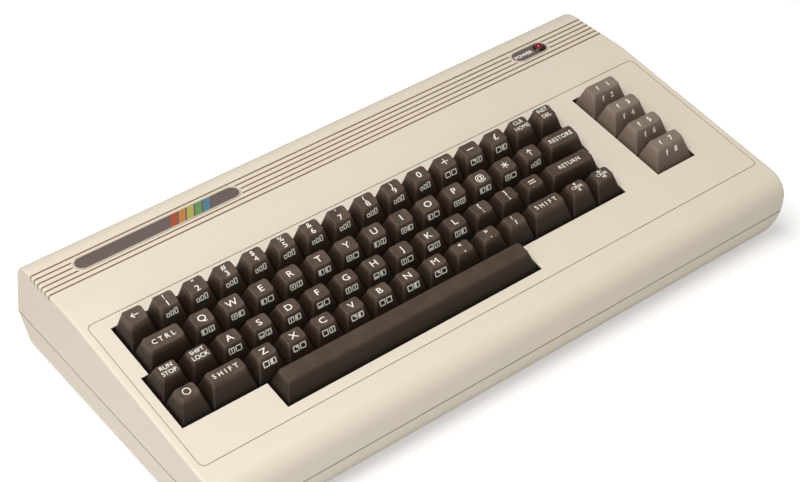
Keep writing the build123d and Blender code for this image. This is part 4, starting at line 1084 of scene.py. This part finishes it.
class Lettering:
    """Flat shapes of words and drawn marks about their own middle."""

    CAP_SHARE = 0.73
    CURVE_STEPS = 4
    STROKE_MM = 0.55
    BOX_STROKE_MM = 0.62
    RING_SIDES = 20
    QUARTER_TURNS = {Mark.LEFT: 0, Mark.DOWN: 1, Mark.RIGHT: 2, Mark.UP: 3}
    STROKE_DEGREES = {Mark.LINE: (90,), Mark.MINUS: (0,), Mark.PLUS: (0, 90),
                      Mark.STAR: (30, 90, 150)}

    def __init__(self) -> None:
        """Start with nothing drawn."""
        self.drawn: dict[tuple[str, WordStyle], Shape] = {}

    def word(self, text: str, style: WordStyle) -> Shape:
        """Shape of one line of text, in millimetres.

        Args:
            text: The characters.
            style: How they are drawn.

        Returns:
            Points with z 0, and faces.
        """
        key = (text, style)
        if key not in self.drawn:
            curve = bpy.data.curves.new("word", "FONT")
            curve.body = text
            curve.size = style.height / self.CAP_SHARE
            curve.space_character = style.spacing
            # The fill of an M or a lone 4 breaks when its outline grows.
            curve.offset = 0.0 if "M" in text or text == "4" else style.bold * style.height
            curve.resolution_u = self.CURVE_STEPS
            holder = bpy.data.objects.new("word", curve)
            bpy.context.scene.collection.objects.link(holder)
            graph = bpy.context.evaluated_depsgraph_get()
            mesh = bpy.data.meshes.new_from_object(holder.evaluated_get(graph))
            xs = [v.co.x for v in mesh.vertices]
            middle = (min(xs) + max(xs)) / 2
            points = [Vector(((v.co.x - middle) * style.stretch, v.co.y - style.height / 2, 0.0))
                      for v in mesh.vertices]
            faces = [tuple(p.vertices) for p in mesh.polygons]
            bpy.data.objects.remove(holder)
            bpy.data.meshes.remove(mesh)
            self.drawn[key] = (points, faces)
        return self.drawn[key]

    def strokes(self, lines: list[Loop], width: float) -> Shape:
        """Shape of straight strokes.

        Args:
            lines: Open or closed lines of points in millimetres.
            width: Width of a stroke in millimetres.

        Returns:
            Points with z 0, and faces.
        """
        points, faces = [], []
        for line in lines:
            for (ax, ay), (bx, by) in zip(line, line[1:]):
                start, end = Vector((ax, ay, 0.0)), Vector((bx, by, 0.0))
                along = (end - start).normalized() * width / 2
                side = Vector((-along.y, along.x, 0.0))
                first = len(points)
                points += [start - along - side, end + along - side, end + along + side,
                           start - along + side]
                faces.append((first, first + 1, first + 2, first + 3))
        return points, faces

    def mark(self, mark: Mark, size: float) -> Shape:
        """Shape of a drawn sign, in millimetres.

        Args:
            mark: Which sign.
            size: Its height or length in millimetres.

        Returns:
            Points with z 0, and faces.
        """
        half, head = size / 2, size / 3
        if mark in self.QUARTER_TURNS:
            arrow = [[(-half, 0.0), (half, 0.0)],
                     [(-half + head, head), (-half, 0.0), (-half + head, -head)]]
            angle = self.QUARTER_TURNS[mark] * math.pi / 2
            lines = [[(x * math.cos(angle) - y * math.sin(angle),
                       x * math.sin(angle) + y * math.cos(angle)) for x, y in line]
                     for line in arrow]
        elif mark is Mark.RING:
            steps = [index * math.tau / self.RING_SIDES for index in range(self.RING_SIDES + 1)]
            lines = [[(half * math.cos(a), half * math.sin(a)) for a in steps]]
        elif mark is Mark.EQUAL:
            lines = [[(-half, high), (half, high)] for high in (-size / 5, size / 5)]
        else:
            ends = [(half * math.cos(a), half * math.sin(a))
                    for a in map(math.radians, self.STROKE_DEGREES[mark])]
            lines = [[(-x, -y), (x, y)] for x, y in ends]
        return self.strokes(lines, self.STROKE_MM)

    def front_mark(self, kind: FrontMark) -> MeshDraft:
        """Sign for a key's front face, upright about its own middle.

        Args:
            kind: Which sign.

        Returns:
            The draft, in metres.
        """
        draft = MeshDraft()
        if kind is FrontMark.GAUGE:
            half, foot = 0.8, -1.5
            for x, tall in ((-2.6, 1.9), (0.0, 2.5), (2.6, 3.1)):
                block = outline((x - half, foot), (x + half, foot + tall))
                draft.add(*self.strokes([block], self.STROKE_MM))
        else:
            wide, high, gap, bar, dot = 1.6, 1.5, 0.1, 0.3, 0.6
            draft.add(*self.strokes([outline((-wide, -high), (wide, high))], self.BOX_STROKE_MM))
            corners = {
                FrontMark.LOWER_HALF: ((-wide, -high), (wide, -gap)),
                FrontMark.LEFT_HALF: ((-wide, -high), (-gap, high)),
                FrontMark.CORNER: ((gap, gap), (wide, high)),
                FrontMark.BAR: ((-bar, -high), (bar, high)),
                FrontMark.DOT: ((-dot, -dot), (dot, dot)),
            }.get(kind)
            if corners:
                draft.add([Vector((x, y, 0.0)) for x, y in outline(*corners)[:4]], [(0, 1, 2, 3)])
        draft.points = [point * MM for point in draft.points]
        return draft


# ---------------------------------------------------------------------------- keyboard
def on_deck(x: float, y: float, z: float) -> Vector:
    """Turn a place on the deck into the row frame.

    Args:
        x: Along the deck in millimetres.
        y: Up the slope in millimetres, from the rear edge of the keys.
        z: Above the deck in millimetres.

    Returns:
        The place in metres.
    """
    turned = Matrix.Rotation(DECK_TILT, 3, "X") @ Vector((x, y, z))
    return (turned + DECK_ORIGIN) * MM


@dataclass(frozen=True)
class CapShape:
    """Insets and heights of a row's finger faces, in millimetres on the deck."""

    rear_inset: float
    front_inset: float
    rear_rise: float
    front_rise: float

    def run(self) -> float:
        """Depth of the finger face."""
        return CAP_DEPTH - self.rear_inset - self.front_inset

    def face_turn(self) -> Matrix:
        """Turn of the finger face in the row frame."""
        tilt = math.asin((self.rear_rise - self.front_rise) / self.run())
        return Matrix.Rotation(DECK_TILT, 3, "X") @ Matrix.Rotation(tilt, 3, "X")

    def front_turn(self) -> Matrix:
        """Turn of the front face in the row frame."""
        lean = math.atan2(self.front_rise + SKIRT_FOOT, self.front_inset)
        return Matrix.Rotation(DECK_TILT + lean, 3, "X")

    def face_middle(self, x: float, y: float) -> Vector:
        """Middle of the finger face of a key at x and y on the deck, in metres."""
        return on_deck(x, y + (self.front_inset - self.rear_inset) / 2,
                       (self.rear_rise + self.front_rise) / 2)

    def front_edge(self, x: float, y: float) -> Vector:
        """Middle of the finger face's front edge of a key at x and y on the deck, in metres."""
        return on_deck(x, y - CAP_DEPTH / 2 + self.front_inset, self.front_rise)


@dataclass(frozen=True)
class KeyGroup:
    """Keys of one CAD node: where they start, how wide they are and what they carry.

    The start and the width are in key pitches. In a legend "|" parts an upper line from a lower
    one, and "~" starts a drawn mark's name. Fronts hold a letter for each key, "g" for a gauge,
    "b" for two boxes and "-" for a bare face, or a function key's lower word.
    """

    node: str
    row: int
    start: float
    width: float
    legends: tuple[str, ...]
    fronts: str = ""


# One for each row of lettered keys, from the rear.
CAP_SHAPES = (
    CapShape(2.2, 6.7, 13.2, 12.0), CapShape(4.0, 5.2, 11.9, 10.8), CapShape(4.2, 5.6, 10.7, 10.4),
    CapShape(3.4, 6.8, 10.8, 11.0),
)
FUNCTION_SHAPE = CapShape(3.2, 7.0, 11.5, 11.0)

KEY_GROUPS = (
    KeyGroup("number_keys_left", 0, 0.0, 1.0,
             ("~left", "!|1", '"|2', "#|3", "$|4", "%|5", "&|6"), "-gggggg"),
    KeyGroup("number_keys_right", 0, 7.0, 1.0, ("'|7", "(|8", ")|9", "0", "~plus", "~minus", "£"),
             "ggggbbb"),
    KeyGroup("home_key", 0, 14.0, 1.0, ("CLR|HOME",)),
    KeyGroup("delete_key", 0, 15.0, 1.0, ("INST|DEL",)),
    KeyGroup("control_key", 1, 0.0, 1.5, ("CTRL",)),
    KeyGroup("upper_keys_left", 1, 1.5, 1.0, tuple("QWERTY"), "bbbbbb"),
    KeyGroup("upper_keys_right", 1, 7.5, 1.0, ("U", "I", "O", "P", "@", "~star", "~up"), "bbbbbbg"),
    KeyGroup("restore_key", 1, 14.5, 1.5, ("RESTORE",)),
    KeyGroup("stop_key", 2, -0.25, 1.0, ("RUN|STOP",)),
    KeyGroup("shift_lock_key", 2, 0.75, 1.0, ("SHIFT|LOCK",)),
    KeyGroup("middle_keys_left", 2, 1.75, 1.0, tuple("ASDFGH"), "bbbbbb"),
    KeyGroup("middle_keys_right", 2, 7.75, 1.0, ("J", "K", "L", "[|:", "]|;", "~equal"), "bbb---"),
    KeyGroup("return_key", 2, 13.75, 2.0, ("RETURN",)),
    KeyGroup("command_key", 3, -0.25, 1.0, ("~ring",)),
    KeyGroup("left_shift_key", 3, 0.75, 1.5, ("SHIFT",)),
    KeyGroup("lower_keys_left", 3, 2.25, 1.0, tuple("ZXCVB"), "bbbbb"),
    KeyGroup("lower_keys_right", 3, 7.25, 1.0, ("N", "M", "<|,", ">|.", "?|/"), "bb---"),
    KeyGroup("right_shift_key", 3, 12.25, 1.5, ("SHIFT",)),
    KeyGroup("cursor_vertical_key", 3, 13.75, 1.0, ("~up|CRSR|~down",)),
    KeyGroup("cursor_horizontal_key", 3, 14.75, 1.0, ("~left|CRSR|~right",)),
)
FUNCTION_GROUPS = tuple(
    KeyGroup(f"function_key_{number}", row, 17.2, 1.5, (f"f  {number}",), f"f  {number + 1}")
    for row, number in enumerate((1, 3, 5, 7)))


@dataclass
class Keyboard:
    """Key caps with their legends, the frame under them and what works them.

    All sizes are in millimetres. A finger face longer than deep_run has room for tall lines.
    """

    shop: Workshop
    letters: Lettering
    repeater: Repeater
    letter_height: float = 4.2
    digit_height: float = 3.7
    shallow_share: float = 0.86
    upper_share: float = 0.88
    letter_bold: float = 0.01
    point_bold: float = 0.035
    letter_stretch: float = 1.14
    deep_run: float = 8.8
    deep_reach: float = 2.15
    shallow_reach: float = 1.95
    triple_reach: float = 2.4
    upright_arrow: float = 1.8
    level_arrow: float = 2.5
    front_drop: float = 4.3
    box_offset: float = 2.2

    def dress(self) -> None:
        """Give every CAD node of the keyboard its finish."""
        self.shop.dress("key", *(group.node for group in KEY_GROUPS), "space_bar")
        self.shop.dress("function_key", *(group.node for group in FUNCTION_GROUPS))
        self.shop.dress("black_plastic", "keyboard_frame")
        self.shop.dress("board", "keyboard_circuit_board")
        self.shop.dress("spring_steel", "key_springs", "space_bar_wire")
        self.shop.dress("steel", "keyboard_screws", "keyboard_board_screws")
        self.shop.dress("cable", "keyboard_cable")

    def build(self) -> None:
        """Add the legends and front marks of every key."""
        for group in KEY_GROUPS:
            self._legends(group, CAP_SHAPES[group.row], Slot.KEY)
        for group in FUNCTION_GROUPS:
            self._legends(group, FUNCTION_SHAPE, Slot.FUNCTION_KEY)

    def _word_style(self, word: str, lines: int, wide: bool) -> WordStyle:
        """Choose how a word of two or more characters is drawn.

        Args:
            word: The word.
            lines: Number of lines in its legend.
            wide: Whether the key is a wide one, with spaced letters.

        Returns:
            The style.
        """
        if lines == 3:
            return CURSOR_WORD
        if word.startswith("f"):
            return FUNCTION_WORD
        if wide:
            return WIDE_SHORT_WORD if len(word) < 6 else WIDE_LONG_WORD
        return NARROW_WORD if len(word) < 5 else NARROW_LONG_WORD

    def _sign_style(self, sign: str, stacked: bool, upper: bool, deep: bool) -> WordStyle:
        """Choose how a single character is drawn.

        Args:
            sign: The character.
            stacked: Whether its legend has two lines.
            upper: Whether it is the upper one.
            deep: Whether the finger face has room for tall lines.

        Returns:
            The style.
        """
        height = self.digit_height if stacked else self.letter_height
        if stacked and not deep:
            height *= self.shallow_share
        if upper:
            height *= self.upper_share
        bold = self.point_bold if sign in ",.:;<>/[]" else self.letter_bold
        return WordStyle(height, bold=bold, stretch=self.letter_stretch)

    def _lines(self, legend: str, wide: bool, deep: bool) -> list[tuple[float, Shape]]:
        """Shapes of a legend's lines with their heights above its middle.

        Args:
            legend: The legend's text.
            wide: Whether the key is a wide one, with spaced letters.
            deep: Whether the finger face has room for tall lines.

        Returns:
            Pairs of the line's height and its shape.
        """
        parts = legend.split("|")
        count = len(parts)
        reach = {1: 0.0, 2: self.deep_reach if deep else self.shallow_reach,
                 3: self.triple_reach}[count]
        shapes = []
        for index, part in enumerate(parts):
            offset = reach * (1 - 2 * index / (count - 1)) if count > 1 else 0.0
            if part.startswith("~"):
                mark = Mark(part[1:])
                short = self.upright_arrow if mark in (Mark.UP, Mark.DOWN) else self.level_arrow
                shape = self.letters.mark(mark, self.letter_height if count == 1 else short)
            elif len(part) > 1:
                shape = self.letters.word(part, self._word_style(part, count, wide))
            else:
                style = self._sign_style(part, count > 1, offset > 0, deep)
                shape = self.letters.word(part, style)
            shapes.append((offset, shape))
        return shapes

    def _fronts(self, group: KeyGroup, index: int) -> list[tuple[FrontMark, float]]:
        """Signs on a key's front face with their places beside its middle, in millimetres.

        Args:
            group: The node's keys.
            index: Which key of them.

        Returns:
            Pairs of the sign and its place.
        """
        kind = group.fronts[index:index + 1]
        if kind == "g":
            return [(FrontMark.GAUGE, 0.0)]
        if kind == "b":
            # The fills of the boxes take turns along a row.
            first, fills = 3 * index + 2 * group.row, len(FrontMark) - 1
            return [(FrontMark(first % fills), -self.box_offset),
                    (FrontMark((first + index + 2) % fills), self.box_offset)]
        return []

    def _legends(self, group: KeyGroup, cap: CapShape, slot: Slot) -> None:
        """Print one node's keys.

        Args:
            group: The node's keys.
            cap: Their cap shape.
            slot: The record's slot of the key.
        """
        tree = self.shop.surface(group.node)
        outwards = Vector((0.0, 0.0, 1.0))
        face, front = cap.face_turn(), cap.front_turn()
        face_normal, front_normal = face @ outwards, front @ outwards
        ahead, reach = 4.0, 9.0
        draft = MeshDraft()
        spots: dict[FrontMark, list[Vector]] = {}
        y = -(group.row + 0.5) * KEY_PITCH
        for index, legend in enumerate(group.legends):
            x = GRID_LEFT + (group.start + (index + 0.5) * group.width) * KEY_PITCH
            middle = cap.face_middle(x, y)
            lines = self._lines(legend, group.width > 1, cap.run() > self.deep_run)
            for offset, (points, faces) in lines:
                places = [middle + face @ Vector((p.x, p.y + offset, 0.0)) * MM for p in points]
                draft.add([land(tree, place, face_normal, ahead, reach) for place in places],
                          faces)
            centre = cap.front_edge(x, y) - front @ Vector((0.0, self.front_drop, 0.0)) * MM
            if slot is Slot.FUNCTION_KEY:
                points, faces = self.letters.word(group.fronts, FUNCTION_FRONT_WORD)
                draft.add([land(tree, centre + front @ point * MM, front_normal, ahead, reach)
                           for point in points], faces)
            else:
                for kind, side in self._fronts(group, index):
                    place = centre + Vector((side * MM, 0.0, 0.0))
                    spots.setdefault(kind, []).append(
                        land(tree, place, front_normal, ahead, reach))
        for kind, places in spots.items():
            draft.add_mesh(self.repeater.repeat(self.letters.front_mark(kind), places,
                                                front.to_euler(), self.shop.paints.get("legend")))
        name = f"legend_{group.node}"
        self.shop.piece(name, draft.mesh(name), self.shop.bodies[group.node], slot, "legend")


# ---------------------------------------------------------------------------- case
@dataclass
class Housing:
    """The two shells with their badges, lamp, screws and feet."""

    shop: Workshop
    letters: Lettering
    word_place: tuple[float, float, float] = (146.7, 70.24, 80.0)

    def dress(self) -> None:
        """Give the case and its fittings their finishes."""
        self.shop.dress("case", "top_case", "bottom_case")
        self.shop.dress("main_badge", "main_badge")
        self.shop.dress("power_badge", "power_badge")
        self.shop.dress("lamp", "power_led")
        self.shop.dress("black_gloss", "led_holder")
        self.shop.dress("cable", "led_cable")
        self.shop.dress("steel", "case_screws")
        self.shop.dress("rubber", "rubber_feet")

    def build(self) -> None:
        """Print the word beside the lamp."""
        tree = self.shop.surface("power_badge")
        points, faces = self.letters.word("POWER", POWER_WORD)
        up, middle, reach = Vector((0.0, 0.0, 1.0)), Vector(self.word_place), 20.0
        draft = MeshDraft()
        draft.add([land(tree, (middle + point) * MM, up, 0.0, reach) for point in points], faces)
        self.shop.piece("power_word", draft.mesh("power_word"), "housing", Slot.BADGE, "legend")


# ---------------------------------------------------------------------------- main board
@dataclass(frozen=True)
class Chip:
    """Outline of a chip on the main board, in millimetres."""

    x: float
    y: float
    length: float
    width: float = 14.0


CHIPS = (
    *(Chip(x, 42.0, 52.0) for x in (-142.0, -82.0, -22.0)),
    *(Chip(x, 12.0, 52.0) for x in (-142.0, -82.0)),
    Chip(-22.0, 12.0, 36.0), Chip(30.0, 12.0, 36.0), Chip(34.0, 42.0, 32.0),
    *(Chip(-150.0 + 24.0 * index, -14.0, 20.0, 7.0) for index in range(8)),
)


@dataclass
class MainBoard:
    """The board inside with its chips' legs and its edge contacts, in millimetres."""

    shop: Workshop
    repeater: Repeater
    board_top: float = 14.0
    board_bottom: float = 12.4
    leg_pitch: float = 2.54
    leg_half_width: float = 0.3
    leg_reach: float = 0.85
    leg_thickness: float = 0.25
    leg_bend: float = 1.9
    leg_top: float = 2.2
    leg_overlap: float = 0.05
    tabs: tuple[tuple[float, int], ...] = ((-98.0, 12), (-32.0, 6))
    contact_pitch: float = 3.96
    contact_start: float = 93.4
    contact_half_width: float = 0.9
    contact_length: float = 8.0
    contact_lift: float = 0.02

    def dress(self) -> None:
        """Give the board and what stands on it their finishes."""
        self.shop.dress("board", "main_circuit_board")
        self.shop.dress("steel", "board_screws")
        self.shop.dress("chip", "integrated_circuits")
        self.shop.dress("capacitor", "capacitors")
        self.shop.dress("fuse", "fuse")
        self.shop.dress("brass", "fuse_clips")
        self.shop.dress("heat_sink", "heat_sink")
        self.shop.dress("header", "board_headers")

    def build(self) -> None:
        """Add chip legs and edge contacts."""
        self._chip_legs()
        self._edge_contacts()

    def _chip_legs(self) -> None:
        """Bent legs along both long sides of every chip."""
        half, reach = self.leg_half_width, self.leg_reach
        draft = MeshDraft()
        for side in (-1, 1):
            leg = MeshDraft()
            leg.box((-half, 0.0, self.leg_bend), (half, side * reach, self.leg_top))
            leg.box((-half, side * (reach - self.leg_thickness), 0.0),
                    (half, side * reach, self.leg_bend + self.leg_overlap))
            places = []
            for chip in CHIPS:
                count = int(chip.length / self.leg_pitch)
                for index in range(count):
                    offset = (index - (count - 1) / 2) * self.leg_pitch
                    places.append(Vector((chip.x + offset, chip.y + side * chip.width / 2,
                                          self.board_top)) * MM)
            draft.add_mesh(self.repeater.repeat(leg, places, Euler(),
                                                self.shop.paints.get("steel")))
        self.shop.piece("chip_legs", draft.mesh("chip_legs"), "housing", Slot.STEEL, "steel")

    def _edge_contacts(self) -> None:
        """Plated contacts on both faces of the two board tabs."""
        pad, lift = MeshDraft(), self.contact_lift
        pad.box((-self.contact_half_width, 0.0, -lift),
                (self.contact_half_width, self.contact_length, lift))
        places = []
        for middle, count in self.tabs:
            for index in range(count):
                x = middle + (index - (count - 1) / 2) * self.contact_pitch
                for z in (self.board_top + lift, self.board_bottom - lift):
                    places.append(Vector((x, self.contact_start, z)) * MM)
        mesh = self.repeater.repeat(pad, places, Euler(), self.shop.paints.get("brass"))
        self.shop.piece("edge_contacts", mesh, "housing", Slot.BRASS, "brass")


# ---------------------------------------------------------------------------- sockets
@dataclass
class Sockets:
    """Sockets, signal box and switch along the rear and the right side, in millimetres."""

    shop: Workshop
    letters: Lettering
    repeater: Repeater
    rocker_place: tuple[float, float, float] = (205.0, 44.0, 21.0)
    rocker_mark: float = 2.8
    rocker_offset: float = 4.2
    slot_middle: float = 150.0
    slot_rear: float = 89.4
    slot_levels: Point = (24.0, 26.0)
    slot_columns: int = 22
    slot_pitch: float = 2.4
    spring_half_width: float = 0.6
    spring_length: float = 8.0
    spring_half_thickness: float = 0.1

    def dress(self) -> None:
        """Give the sockets and the switch their finishes."""
        self.shop.dress("black_plastic", "serial_socket", "video_socket", "power_inlet",
                        "cartridge_socket", "power_switch_body", "channel_slider")
        self.shop.dress("tin", "rf_modulator", "control_port_1", "control_port_2")
        self.shop.dress("black_gloss", "power_rocker")

    def build(self) -> None:
        """Add the marks on the rocker and the springs in the cartridge slot."""
        self._rocker_marks()
        self._slot_contacts()

    def _rocker_marks(self) -> None:
        """A line and a ring on the two halves of the rocker."""
        tree = self.shop.surface("power_rocker")
        quarter = math.radians(90)
        turn = Matrix.Rotation(quarter, 3, "Z") @ Matrix.Rotation(quarter, 3, "X")
        outwards, reach = Vector((1.0, 0.0, 0.0)), 15.0
        draft = MeshDraft()
        for mark, side in ((Mark.LINE, 1), (Mark.RING, -1)):
            points, faces = self.letters.mark(mark, self.rocker_mark)
            shift = Vector((side * self.rocker_offset, 0.0, 0.0))
            starts = [turn @ (point + shift) + Vector(self.rocker_place) for point in points]
            draft.add([land(tree, start * MM, outwards, 0.0, reach) for start in starts], faces)
        self.shop.piece("rocker_marks", draft.mesh("rocker_marks"), "power_rocker",
                        Slot.BLACK_GLOSS, "legend")

    def _slot_contacts(self) -> None:
        """Spring contacts above and below the cartridge slot."""
        contact = MeshDraft()
        contact.box((-self.spring_half_width, -self.spring_length, -self.spring_half_thickness),
                    (self.spring_half_width, 0.0, self.spring_half_thickness))
        left = self.slot_middle - (self.slot_columns - 1) / 2 * self.slot_pitch
        places = [Vector((left + index * self.slot_pitch, self.slot_rear, z)) * MM
                  for index in range(self.slot_columns) for z in self.slot_levels]
        mesh = self.repeater.repeat(contact, places, Euler(), self.shop.paints.get("brass"))
        self.shop.piece("cartridge_contacts", mesh, "housing", Slot.BRASS, "brass")


# ---------------------------------------------------------------------------- studio
@dataclass(frozen=True)
class SoftLight:
    """Large square light aimed at the object: its place and edge in metres, power in watts."""

    name: str
    place: tuple[float, float, float]
    power: float
    colour: Colour
    size: float = 0.9
    target: tuple[float, float, float] = (0.0, 0.0, 0.03)

    def build(self) -> None:
        """Hang the light."""
        data = bpy.data.lights.new(self.name, "AREA")
        data.size = self.size
        data.energy = self.power
        data.color = self.colour
        lamp = bpy.data.objects.new(self.name, data)
        lamp.location = self.place
        aim = Vector(self.target) - Vector(self.place)
        lamp.rotation_euler = aim.to_track_quat("-Z", "Y").to_euler()
        bpy.context.scene.collection.objects.link(lamp)


LIGHTS = (
    SoftLight("light_top", (-0.48, -0.05, 1.36), 18.3, (1.0, 0.99, 0.975)),
    SoftLight("light_front", (-1.2, -1.35, 0.36), 7.8, (0.97, 0.99, 1.0)),
)


@dataclass
class Studio:
    """Table, soft lights, pale surroundings and the camera, in metres unless named otherwise."""

    camera_place: tuple[float, float, float] = (-0.49096, -0.65918, 0.73108)
    camera_turn_deg: tuple[float, float, float] = (49.85076, 1.32983, -37.44412)
    lens_mm: float = 82.98
    sensor_mm: float = 36.0
    sky_colour: Colour = (1.0, 0.97, 0.93)
    sky_strength: float = 0.22
    floor_half: float = 4.0
    floor_drop: float = 0.00005
    floor_colour: Colour = (0.8, 0.8, 0.8)
    floor_roughness: float = 0.6
    floor_glow: float = 0.41
    glow_from: float = 0.7
    glow_full: float = 1.3

    def build(self) -> None:
        """Set up everything around the object."""
        self._floor()
        self._world()
        for light in LIGHTS:
            light.build()
        self._camera()
        bpy.context.scene.view_settings.view_transform = "Standard"

    def _floor(self) -> None:
        """Plain pale table top, lightened for the camera alone and clear from below."""
        half, draft = self.floor_half, MeshDraft()
        corners = outline((-half, -half), (half, half))[:4]
        draft.add([Vector((x, y, -self.floor_drop)) for x, y in corners], [(0, 1, 2, 3)])
        floor = bpy.data.objects.new("table_top", draft.mesh("table_top"))
        bpy.context.scene.collection.objects.link(floor)
        material = bpy.data.materials.new("table_white")
        material.use_nodes = True
        surface = material.node_tree.nodes["Principled BSDF"]
        shader = Shader(material.node_tree)
        seen = shader.node("ShaderNodeLightPath").outputs["Is Camera Ray"]
        place = shader.node("ShaderNodeTexCoord").outputs["Object"]
        away = shader.node("ShaderNodeVectorMath", place, operation="LENGTH").outputs["Value"]
        glow = shader.remap(away, self.glow_from, self.glow_full, self.floor_glow, 1.0)
        behind = shader.node("ShaderNodeNewGeometry").outputs["Backfacing"]
        shader.fill(surface, {
            "Base Color": self.floor_colour, "Roughness": self.floor_roughness,
            "Emission Color": WHITE, "Emission Strength": shader.product(seen, glow),
            "Alpha": shader.math("SUBTRACT", 1.0, behind)})
        floor.data.materials.append(material)
        floor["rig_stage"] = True

    def _world(self) -> None:
        """White to the camera and through clear pieces, softer grey as a light."""
        world = bpy.data.worlds.new("surroundings")
        bpy.context.scene.world = world
        world.use_nodes = True
        world.node_tree.nodes.clear()
        shader = Shader(world.node_tree)
        path = shader.node("ShaderNodeLightPath")
        seen = shader.math("MAXIMUM", path.outputs["Is Camera Ray"],
                           path.outputs["Is Transmission Ray"])
        soft = shader.node("ShaderNodeBackground", self.sky_colour, self.sky_strength)
        white = shader.node("ShaderNodeBackground", WHITE, 1.0)
        mixed = shader.node("ShaderNodeMixShader", seen, soft.outputs[0], white.outputs[0])
        shader.node("ShaderNodeOutputWorld", mixed.outputs[0])

    def _camera(self) -> None:
        """Long-lens view from the front left, from above."""
        data = bpy.data.cameras.new("camera")
        data.lens = self.lens_mm
        data.sensor_width = self.sensor_mm
        data.dof.use_dof = False
        camera = bpy.data.objects.new("camera", data)
        camera.location = self.camera_place
        camera.rotation_euler = Euler([math.radians(a) for a in self.camera_turn_deg])
        bpy.context.scene.collection.objects.link(camera)
        bpy.context.scene.camera = camera


def main() -> None:
    """Build the looks of the whole object in order."""
    logging.basicConfig(level=logging.INFO, format="%(name)s: %(message)s")
    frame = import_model()
    bodies = {name: node["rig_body"] for name, node in frame["nodes"].items()}
    shop = Workshop(frame["nodes"], bodies, Paintbox())
    letters = Lettering()
    repeater = Repeater()
    assemblies = (Housing(shop, letters), Keyboard(shop, letters, repeater),
                  MainBoard(shop, repeater), Sockets(shop, letters, repeater))
    for assembly in assemblies:
        LOG.info("dressing %s", type(assembly).__name__)
        assembly.dress()
    for assembly in assemblies:
        LOG.info("building %s", type(assembly).__name__)
        assembly.build()
    Studio().build()
    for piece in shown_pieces():
        LOG.info("piece %s", piece.name)


if __name__ == "__main__":
    main()
